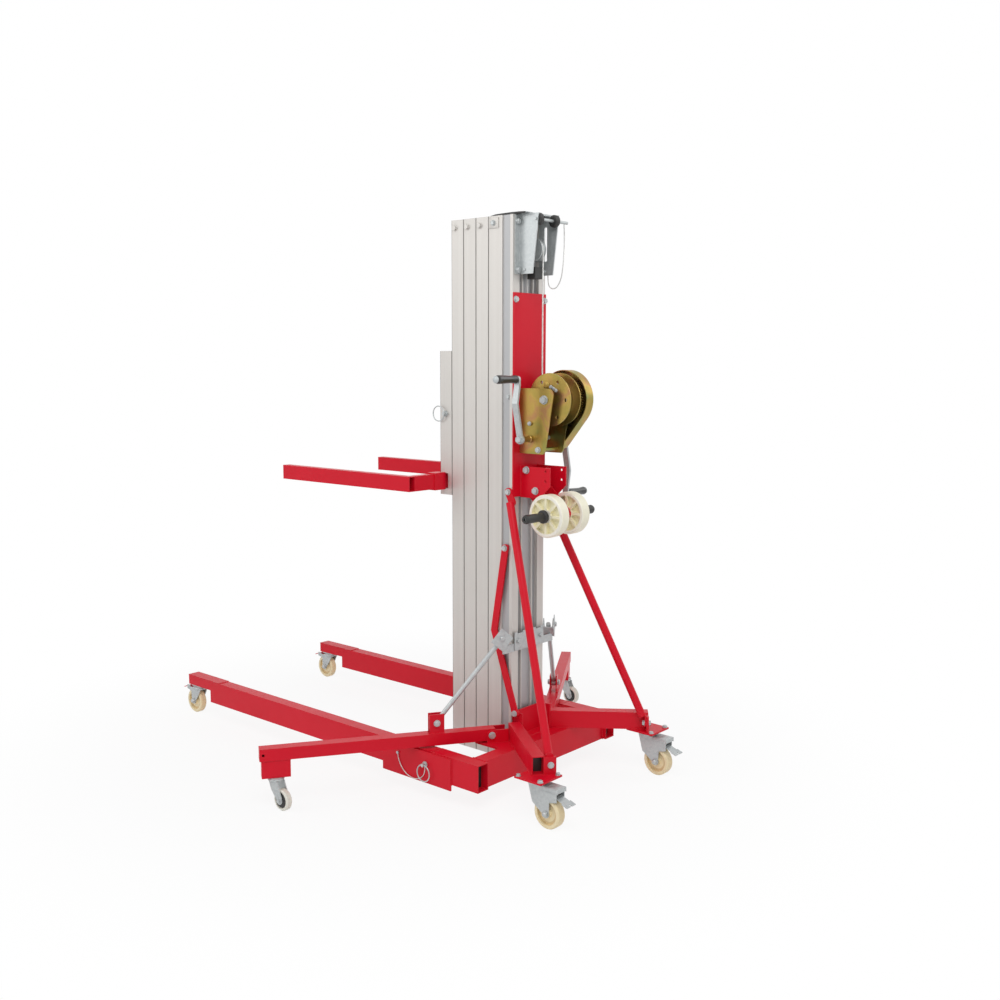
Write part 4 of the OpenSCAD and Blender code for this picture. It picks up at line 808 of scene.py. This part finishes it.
def hex_bolts():
    """Hexagon heads with crowns and washers on the seed's points, turned to its facing."""
    tree = Growth("hex_bolts", "zinc_steel", False, Diameter=10 * MM)
    d = tree.entry.other("Diameter")
    joined = tree.node("GeometryNodeJoinGeometry")
    for sides, bottom, top, depth, foot in BOLT_STEPS:
        cone = tree.node("GeometryNodeMeshCone", None, {
            "Vertices": sides, "Radius Top": top * d, "Radius Bottom": bottom * d, "Depth": depth * d,
        })
        lift = tree.node("ShaderNodeCombineXYZ", None, {"Z": foot * d})
        part = tree.node("GeometryNodeTransform", None, {"Geometry": cone, "Translation": lift})
        tree.feed(joined.socket.node.inputs[0], part)
    facing = tree.node(
        "GeometryNodeInputNamedAttribute", {"data_type": "FLOAT_VECTOR"}, {"Name": "facing"},
    )
    turn = tree.node("FunctionNodeAlignRotationToVector", {"axis": "Z"}, {"Vector": facing})
    heads = tree.node("GeometryNodeInstanceOnPoints", None, {
        "Points": tree.entry, "Instance": joined, "Rotation": turn,
    })
    return tree.close(heads)


def line_seed(name, lines):
    """A mesh of open lines through points."""
    points = []
    edges = []
    for line in lines:
        start = len(points)
        points.extend(line)
        edges.extend((start + k, start + k + 1) for k in range(len(line) - 1))
    data = bpy.data.meshes.new(name)
    data.from_pydata(points, edges, [])
    return data


def point_seed(name, spots):
    """A mesh of points, each with the way that it faces."""
    data = bpy.data.meshes.new(name)
    data.from_pydata([place for place, _ in spots], [], [])
    facing = data.attributes.new("facing", "FLOAT_VECTOR", "POINT")
    facing.data.foreach_set("vector", [part for _, way in spots for part in way])
    return data


# Welds: how far the beads stand off, the winch plate's seam, the rear legs' seam before the caster's axis,
# and the seams of a stabiliser's brace lug and end post as its distance across and its run along
FRAME_BEAD_OFF = 0.5
WINCH_SEAM = (45.5, 5.5)
WINCH_SEAM_Z = (980, 1080)
LEG_SEAM = (62, 4)
STAB_BEAD_OFF = 0.3
LUG_SEAM = (13.8, (162, 210))
POST_SEAM = (17.2, (668, 758))


def frame_seams(side):
    """Weld lines of the base frame and the winch plate on one side."""
    inner = BASE_HALF - TUBE_WIDTH
    outer = BASE_HALF + FRAME_BEAD_OFF
    cross = (CROSS_REAR - TUBE_WIDTH, CROSS_REAR)
    lines = [[at_mast(side * inner, y, z) for z in (TUBE_LOW, BASE_TOP)] for y in cross]
    lines.append([at_mast(side * inner, y, BASE_TOP) for y in cross])
    lines.append([at_mast(side * outer, CHEEK_END, z) for z in (TUBE_LOW, CHEEK_TOP)])
    lines.append([at_mast(side * WINCH_SEAM[0], WINCH_SEAM[1], z) for z in WINCH_SEAM_Z])
    on_cross = [(y - REAR_LEG_ROOT.y) / REAR_LEG_AHEAD.y for y in cross]
    on_plate = [REAR_LEG_LENGTH - before for before in LEG_SEAM]
    beside = REAR_LEG_WIDTH / 2 + FRAME_BEAD_OFF
    for run in (on_cross, on_plate):
        for hand in (1, -1):
            lines.append([on_rear_leg(side, along, beside * hand, FRAME_BEAD_OFF) for along in run])
    return lines


def stabiliser_seams(side):
    """Weld lines of a stabiliser's brace lug and end post."""
    top = STAB_TUBE / 2 + STAB_BEAD_OFF
    lines = []
    for hand in (1, -1):
        for (across, run), up in ((LUG_SEAM, top), (POST_SEAM, -top)):
            lines.append([on_stabiliser(side, along, across * hand, up) for along in run])
    return lines


def add_welds():
    bead = weld_bead()
    seams = [line for side, _ in SIDES for line in frame_seams(side)]
    seed = line_seed("frame_seams", seams)
    bead.grow("frame_welds", seed, "base", Spacing=3.4 * MM, Radius=2.6 * MM)
    for side, hand in SIDES:
        seed = line_seed(f"stabiliser_seams_{hand}", stabiliser_seams(side))
        body = f"stabiliser_{hand}"
        bead.grow(f"stabiliser_welds_{hand}", seed, body, Spacing=3 * MM, Radius=2.2 * MM)


# Places of bolts and nuts: on the head tabs, the rear casters' plates, the head's feet, the crank's hubs,
# the lay shaft, the stabilisers' lugs and the drum's rope clamp
TAB_BOLT = (-82, 1877)
PLATE_BOLT = 43.0
HEAD_BOLT = (64.0, 4.2)
HEAD_BOLT_Z = (MAST_TOP - 22, MAST_TOP - 178)
CRANK_HUBS = (106.0, -132.0)
LAY_NUT_X = 55.2
LUG_BOLT = (186.0, 13.6, 54.0)
CLAMP_BOLTS = ((28, 117, 1345), (28, 137, 1334))


def set_bolts(heads, name, spots, body, diameter):
    """Bolt heads for one thread diameter on spots of (place, way that they face)."""
    heads.grow(name, point_seed(f"{name}_spots", spots), body, Diameter=diameter * MM)


def lug_bolt_spots(side):
    along, across, up = LUG_BOLT
    spots = []
    for face in (1, -1):
        place = on_stabiliser(side, along, face * across, up)
        way = place - on_stabiliser(side, along, 0, up)
        spots.append((place, way.normalized()))
    return spots


def add_bolts(heads):
    on_frame = []
    on_head = []
    for side, _ in SIDES:
        corner = (side * (REAR_CASTER.x + PLATE_BOLT), REAR_CASTER.y + PLATE_BOLT, BASE_TOP)
        on_frame.append((at_mast(side * (MAST_HALF + TAB_T), *TAB_BOLT), ALONG_X * side))
        on_frame.append((at_mast(*corner), ALONG_Z))
        for z in HEAD_BOLT_Z:
            on_head.append((at_mast(side * HEAD_BOLT[0], HEAD_BOLT[1], z), ALONG_Y))
    on_hubs = [(at_mast(x, *CRANK_AXLE), ALONG_X * math.copysign(1, x)) for x in CRANK_HUBS]
    on_clamp = [(at_mast(*place), ALONG_X) for place in CLAMP_BOLTS]
    set_bolts(heads, "frame_bolts", on_frame, "base", 9.0)
    set_bolts(heads, "head_bolts", on_head, "base", 10.5)
    set_bolts(heads, "crank_hub_nuts", on_hubs, "crank", 13.0)
    set_bolts(heads, "lay_shaft_nut", [(at_mast(LAY_NUT_X, *LAY_AXLE), ALONG_X)], "lay_gear", 7.0)
    for side, hand in SIDES:
        set_bolts(heads, f"lug_bolts_{hand}", lug_bolt_spots(side), f"stabiliser_{hand}", 11.0)
    set_bolts(heads, "rope_clamp_bolts", on_clamp, "drum", 6.0)


# Cover plates on the rod blocks as (along, off) the rod, their bolts, and the cross bracket's bolts
BLOCK_COVER = ((-29, -31), (29, -31), (29, 22), (-29, 22))
BLOCK_FACE = 18.2
BLOCK_COVER_T = 3.0
BLOCK_BOLT = (4, BLOCK_FACE + BLOCK_COVER_T, -8)
BRACKET_BOLT = (60, 9.3, 488)


def add_block_covers(heads):
    """Cover plates on the rear faces of the rod blocks, with bolts on them and on the cross bracket."""
    mesh = bmesh.new()
    spots = []
    for side, _ in SIDES:
        corners = [on_block(side, along, BLOCK_FACE, off) for along, off in BLOCK_COVER]
        way = (on_block(side, 0, 1, 0) - on_block(side, 0, 0, 0)).normalized()
        add_plate(mesh, corners, way, BLOCK_COVER_T, 0.8)
        spots.append((on_block(side, *BLOCK_BOLT), way))
        x, y, z = BRACKET_BOLT
        spots.append((at_mast(side * x, y, z), ALONG_Y))
    finished("block_covers", mesh, "zinc_steel", "base")
    set_bolts(heads, "block_bolts", spots, "base", 9.0)


# Crank grips: heights, and where their ends and roots are along X; then the turned outlines
GRIP_Z = (1369.88, 977.88)
GRIP_ENDS = (222.7, -248.7)
GRIP_ROOTS = (122.3, -148.3)
GRIP_CAP = ((0.3, 0.3), (11.5, 0.3), (12, 0.9), (12, 2), (10, 3.6), (6, 4.4), (0.3, 4.6))
GRIP_COLLAR = ((5.2, 0.2), (9, 0.2), (9.6, 0.8), (9.6, 3), (5.2, 3))
SMALL_SEGMENTS = 28


def add_grip_ends():
    """Bright end caps and collars of the crank grips, fixed on the crank's pins."""
    mesh = bmesh.new()
    for z, end, root in zip(GRIP_Z, GRIP_ENDS, GRIP_ROOTS):
        out = ALONG_X if end > 0 else -ALONG_X
        add_lathe(mesh, at_mast(end, CRANK_AXLE[0], z), out, GRIP_CAP, SMALL_SEGMENTS)
        add_lathe(mesh, at_mast(root, CRANK_AXLE[0], z), -out, GRIP_COLLAR, SMALL_SEGMENTS)
    finished("crank_grip_ends", mesh, "zinc_steel", "crank")


HEAD_TAB = ((-103, 1860), (-61, 1860), (-61, 1895), (-103, 1895))


def add_head_tabs():
    """Small plates on the column's sides under the head."""
    mesh = bmesh.new()
    for side, _ in SIDES:
        corners = [at_mast(side * MAST_HALF, y, z) for y, z in HEAD_TAB]
        add_plate(mesh, corners, ALONG_X * side, TAB_T, 0.8)
    finished("head_tabs", mesh, "mast_alloy", "base")


# Head cover: the sheet on the head's cap as (x, y), and a dark strip as (y, z), painted shade along the
# cap's shaded edge
COVER_SHEET = ((-76.5, -80), (76.5, -80), (76.5, 46), (-76.5, 46))
COVER_LOW = MAST_TOP + 3.9
COVER_SHADE_STRIP_X = 75.9
COVER_SHADE_STRIP = (
    (46, 1899.9), (46, 1905.5), (20, 1906.6), (-10, 1907), (-45, 1906.4), (-80, 1905.5), (-102, 1902),
    (-102, 1899.9),
)


def add_head_cover():
    """Cover sheet on the head's cap, with a dark rubber strip on the column's top as painted shade along
    the cap's edge.
    """
    mesh = bmesh.new()
    add_plate(mesh, [at_mast(x, y, COVER_LOW) for x, y in COVER_SHEET], ALONG_Z, 1.6, 0.4)
    finished("head_cover", mesh, "zinc_steel", "base")
    mesh = bmesh.new()
    for side, _ in SIDES:
        corners = [at_mast(side * COVER_SHADE_STRIP_X, y, z) for y, z in COVER_SHADE_STRIP]
        add_plate(mesh, corners, ALONG_X * side, 1.5, 0.4)
    finished("cover_shade_strip", mesh, "black_rubber", "base")


# Rope clamp on the drum: the flange's face, and outlines of the tab's foot, its fold and the bar
FLANGE_FACE = 24.2
TAB_FOOT = ((86, 1344), (106, 1340), (109, 1358), (89, 1364))
TAB_FOLD = ((25, 90, 1343), (25, 106, 1340), (38, 105, 1345), (38, 91, 1347))
CLAMP_BAR = ((112, 1342), (139, 1327), (144, 1335), (117, 1351))


def add_drum_clamp():
    """Rope clamp on the drum's left flange: a folded tab and a bar under two bolts."""
    mesh = bmesh.new()
    add_plate(mesh, [at_mast(FLANGE_FACE, y, z) for y, z in TAB_FOOT], ALONG_X, 1.4, 0.4)
    add_plate(mesh, [at_mast(*corner) for corner in TAB_FOLD], -ALONG_Z, 1.6, 0.5)
    finished("rope_tab", mesh, "gold_zinc", "drum")
    mesh = bmesh.new()
    add_plate(mesh, [at_mast(FLANGE_FACE, y, z) for y, z in CLAMP_BAR], ALONG_X, 4.0, 1.0)
    finished("rope_clamp", mesh, "zinc_steel", "drum")


CRANK_SLEEVE = (
    (8.2, 52), (11.5, 52), (12, 53), (12, 58), (9.8, 60), (9.8, 90), (11, 92), (11, 97), (8.2, 97),
)


def add_crank_sleeve():
    """Plated sleeve on the crank shaft between the side plate and the left arm."""
    mesh = bmesh.new()
    add_lathe(mesh, at_mast(0, *CRANK_AXLE), ALONG_X, CRANK_SLEEVE)
    finished("crank_sleeve", mesh, "gold_zinc", "crank")


def node_middle(node):
    """The middle of a node's box, in metres."""
    low, high = (Vector(corner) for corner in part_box(node))
    return (low + high) / 2


WHEEL_HUB = ((5.6, 5.3), (24.2, 5.3), (24.4, 7.5), (22.5, 10.4), (14, 11.5), (9, 12.4), (5.6, 12.4))


def add_wheel_hubs():
    """Black hubs in both faces of the stabilisers' wheels."""
    for _, hand in SIDES:
        mesh = bmesh.new()
        for face in (1, -1):
            add_lathe(mesh, node_middle(f"side_wheel_{hand}"), ALONG_X * face, WHEEL_HUB)
        finished(f"side_wheel_hub_{hand}", mesh, "black_rubber", f"side_wheel_{hand}")


# Swivel heads: top and radius; then a race's outline, out from that radius and down from that top
SWIVEL_HEADS = {"rear": (145.7, 29), "front": (113.7, 26), "side": (103.7, 24)}
RACE = (
    (-0.5, 9.4), (2, 8.6), (3, 6), (2, 4.4), (0.6, 4), (2, 3.4), (2.6, 2), (-0.5, 0.6),
)


def add_swivel_races():
    """Pressed ball-race rings round the casters' swivel heads."""
    for side, hand in SIDES:
        axes = {
            "rear": at_mast(side * REAR_CASTER.x, REAR_CASTER.y, 0),
            "front": at_mast(side * FRONT_CASTER.x, FRONT_CASTER.y, 0),
            "side": on_stabiliser(side, STAB_CASTER, 0, -STAB_PIVOT.z),
        }
        for kind, (top, radius) in SWIVEL_HEADS.items():
            mesh = bmesh.new()
            add_lathe(mesh, axes[kind], ALONG_Z, [(radius + out, top - down) for out, down in RACE])
            finished(f"{kind}_swivel_race_{hand}", mesh, "zinc_steel", f"{kind}_caster_{hand}")


# Axle nuts: the forks' half widths, and a nut's outline
FORK_HALVES = {"rear": 21.0, "front": 18.0}
AXLE_NUT = (
    (0.3, 0.3), (10, 0.3), (10.6, 0.9), (10.6, 2), (8.6, 2.4), (8.4, 7), (6.4, 9.4), (3, 10.6),
    (0.3, 10.8),
)


def add_axle_nuts():
    """Domed nuts on both ends of the rear and front casters' axles."""
    for kind, half in FORK_HALVES.items():
        for _, hand in SIDES:
            middle = node_middle(f"{kind}_wheel_{hand}")
            mesh = bmesh.new()
            for out in (ALONG_X, -ALONG_X):
                add_lathe(mesh, middle + out * half * MM, out, AXLE_NUT, SMALL_SEGMENTS)
            finished(f"{kind}_axle_nuts_{hand}", mesh, "zinc_steel", f"{kind}_caster_{hand}")


# Sheet face of the cross bracket: half width, bottom and top, face, and slots in the top edge
BRACKET_HALF = 77.0
BRACKET_Z = (456, 519)
BRACKET_FACE = 6.3
SLOT_MIDDLES = (-48, 0, 48)
SLOT_HALF = 14.0
SLOT_LOW = 513.0


def add_bracket_face():
    """Sheet face on the bar across the mast's rear, with a row of slots in its top edge."""
    bottom, top = BRACKET_Z
    outline = [(BRACKET_HALF, bottom), (-BRACKET_HALF, bottom), (-BRACKET_HALF, top)]
    for middle in SLOT_MIDDLES:
        start = middle - SLOT_HALF
        end = middle + SLOT_HALF
        outline.extend(((start, top), (start, SLOT_LOW), (end, SLOT_LOW), (end, top)))
    outline.append((BRACKET_HALF, top))
    mesh = bmesh.new()
    add_plate(mesh, [at_mast(x, BRACKET_FACE, z) for x, z in outline], ALONG_Y, 3.0, 0.6)
    finished("bracket_face", mesh, "zinc_steel", "base")


# Bores of the open tubes, with how far along each stands a dark plate, painted shade for the tube's dark
# inside
SIDE_BORE = ((323.8, 68.8), (368.2, 68.8), (368.2, 153.2), (323.8, 153.2))
SIDE_SHADE_PLATE = 78.0
LEG_BORE = ((-17.2, 2.8), (17.2, 2.8), (17.2, 57.2), (-17.2, 57.2))
LEG_SHADE_PLATE = 312.0
FORK_BORE = ((230.8, 989.8), (255.2, 989.8), (255.2, 1036.2), (230.8, 1036.2))
FORK_SHADE_PLATE = -345.0
SHADE_PLATE_T = 2.0


def add_tube_ends():
    """Dark plates set back in the open ends of the base's, the rear legs' and the fork's tubes, painted
    shade for their dark insides.
    """
    frame_mesh = bmesh.new()
    fork_mesh = bmesh.new()
    for side, _ in SIDES:
        way = ALONG_Y * -side
        leg_way = Vector((REAR_LEG_AHEAD.x, side * REAR_LEG_AHEAD.y, 0))
        tube = [at_mast(side * x, SIDE_SHADE_PLATE, z) for x, z in SIDE_BORE]
        leg = [on_rear_leg(side, LEG_SHADE_PLATE, across, up) for across, up in LEG_BORE]
        fork = [at_mast(side * x, FORK_SHADE_PLATE, z) for x, z in FORK_BORE]
        add_plate(frame_mesh, tube, way, SHADE_PLATE_T, 0.3)
        add_plate(frame_mesh, leg, leg_way, SHADE_PLATE_T, 0.3)
        add_plate(fork_mesh, fork, way, SHADE_PLATE_T, 0.3)
    finished("tube_shade_plates", frame_mesh, "black_rubber", "base")
    finished("fork_shade_plates", fork_mesh, "black_rubber", "carriage")


# Rear casters' brake covers: half width, the flanges' inset from it, the run behind the swivel axis, the
# roof, the rear lip, and the flanges' teeth
BRAKE_HALF = 21.2
FLANGE_INSET = 0.4
BRAKE_RUN = (34.0, 93.0)
BRAKE_ROOF = 135.5
BRAKE_TOP = 136.5
BRAKE_LIP_LOW = 124.0
BRAKE_SHEET = 1.8
TEETH = 14
TOOTH_Z = (121.5, 126.5)


def add_brake_covers():
    """Folded covers over the rear casters' brakes, with teeth along the flanges."""
    front, rear = BRAKE_RUN
    half = BRAKE_HALF
    flange = [(rear, BRAKE_TOP), (front, BRAKE_TOP)]
    for k in range(TEETH + 1):
        flange.append((front + (rear - front) * k / TEETH, TOOTH_Z[k % 2]))
    roof = ((-half, front), (half, front), (half, rear), (-half, rear))
    lip = ((-half, BRAKE_LIP_LOW), (half, BRAKE_LIP_LOW), (half, BRAKE_TOP), (-half, BRAKE_TOP))
    for side, hand in SIDES:
        axis = at_mast(side * REAR_CASTER.x, REAR_CASTER.y, 0)
        mesh = bmesh.new()
        corners = [axis + Vector((x, y, BRAKE_ROOF)) * MM for x, y in roof]
        add_plate(mesh, corners, ALONG_Z, 2.4, 0.5)
        corners = [axis + Vector((x, rear, z)) * MM for x, z in lip]
        add_plate(mesh, corners, -ALONG_Y, BRAKE_SHEET, 0.5)
        for face in (1, -1):
            x = face * (half - FLANGE_INSET)
            corners = [axis + Vector((x, y, z)) * MM for y, z in flange]
            add_plate(mesh, corners, ALONG_X * face, BRAKE_SHEET, 0.4)
        finished(f"brake_cover_{hand}", mesh, "zinc_steel", f"rear_caster_{hand}")


def dress_nodes():
    """Gives each CAD node the finish of its slot, and each wheel its own."""
    for name, node in frame["nodes"].items():
        kind = name.rsplit("_", 1)[0]
        for slot in node.material_slots:
            if kind in WHEELS:
                slot.material = wheel_nylon(name, *WHEELS[kind])
            elif kind == "crank_grip":
                slot.material = GRIP_FINISH
            else:
                slot.material = FINISHES[slot.material.name]


# Floor: radius and fade in metres, tone, and the share of white that the eye sees near and far
FLOOR_RADIUS = 60.0
FLOOR_FADE = (0.6, 1.9)
FLOOR_TONE = 0.94
NEAR_WHITE = 0.87

# Light: the surround's strength, and each lamp's place and width in metres and its power in watts
SURROUND_LIGHT = 0.45
LAMP_AIM = (0.0, MAST_REAR, 0.7)
LAMPS = (
    ("key_light", (2.2, 2.6, 4.2), 3.0, 75.0),
    ("fill_light", (3.6, -1.8, 2.6), 2.6, 30.0),
    ("rear_light", (-2.8, 2.6, 3.0), 2.6, 22.0),
)


def seen_share(tree):
    """1 for rays that show a surface to the eye, by itself or in metal or glass."""
    path = tree.node("ShaderNodeLightPath", output="Is Camera Ray")
    return path + path.other("Is Glossy Ray") + path.other("Is Transmission Ray")


def add_floor():
    """Pale floor that keeps a soft shadow and fades to white."""
    mesh = bmesh.new()
    bmesh.ops.create_circle(mesh, cap_ends=True, segments=96, radius=FLOOR_RADIUS)
    data = bpy.data.meshes.new("floor")
    mesh.to_mesh(data)
    mesh.free()
    floor = bpy.data.objects.new("floor", data)
    bpy.context.scene.collection.objects.link(floor)
    material = bpy.data.materials.new("pale_floor")
    material.use_nodes = True
    data.materials.append(material)
    tree = Tree(material.node_tree)
    place = tree.node("ShaderNodeTexCoord", output="Object")
    reach = tree.node("ShaderNodeVectorMath", {"operation": "LENGTH"}, {0: place}, "Value")
    fade = tree.node(
        "ShaderNodeMapRange", {"interpolation_type": "SMOOTHSTEP"},
        {"Value": reach, "From Min": FLOOR_FADE[0], "From Max": FLOOR_FADE[1]},
    )
    matt = tree.node("ShaderNodeBsdfDiffuse", None, {"Color": grey(FLOOR_TONE)})
    white = tree.node("ShaderNodeEmission", None, {"Color": grey(1.0), "Strength": 1.0})
    share = (NEAR_WHITE + (1 - NEAR_WHITE) * fade) * seen_share(tree)
    blend = tree.node("ShaderNodeMixShader", None, {0: share, 1: matt, 2: white})
    tree.node("ShaderNodeOutputMaterial", None, {"Surface": blend})


def add_light():
    """Soft lamps above and a white surround."""
    scene = bpy.context.scene
    scene.view_settings.view_transform = "Standard"
    world = bpy.data.worlds.new("surround")
    world.use_nodes = True
    scene.world = world
    sky = Tree(world.node_tree)
    light = sky.node("ShaderNodeBackground", None, {"Color": grey(1.0), "Strength": SURROUND_LIGHT})
    white = sky.node("ShaderNodeBackground", None, {"Color": grey(1.0), "Strength": 1.0})
    blend = sky.node("ShaderNodeMixShader", None, {0: seen_share(sky), 1: light, 2: white})
    sky.node("ShaderNodeOutputWorld", None, {"Surface": blend})
    for name, place, width, power in LAMPS:
        lamp = bpy.data.lights.new(name, "AREA")
        lamp.shape = "DISK"
        lamp.size = width
        lamp.energy = power
        source = bpy.data.objects.new(name, lamp)
        aim = Vector(LAMP_AIM) - Vector(place)
        turn = aim.to_track_quat("-Z", "Y").to_matrix()
        source.matrix_world = Matrix.Translation(place) @ turn.to_4x4()
        scene.collection.objects.link(source)


add_camera()
add_ropes()
add_welds()
bolt_heads = hex_bolts()
add_bolts(bolt_heads)
add_block_covers(bolt_heads)
add_grip_ends()
add_head_tabs()
add_head_cover()
add_drum_clamp()
add_crank_sleeve()
add_wheel_hubs()
add_swivel_races()
add_axle_nuts()
add_bracket_face()
add_tube_ends()
add_brake_covers()
dress_nodes()
add_floor()
add_light()
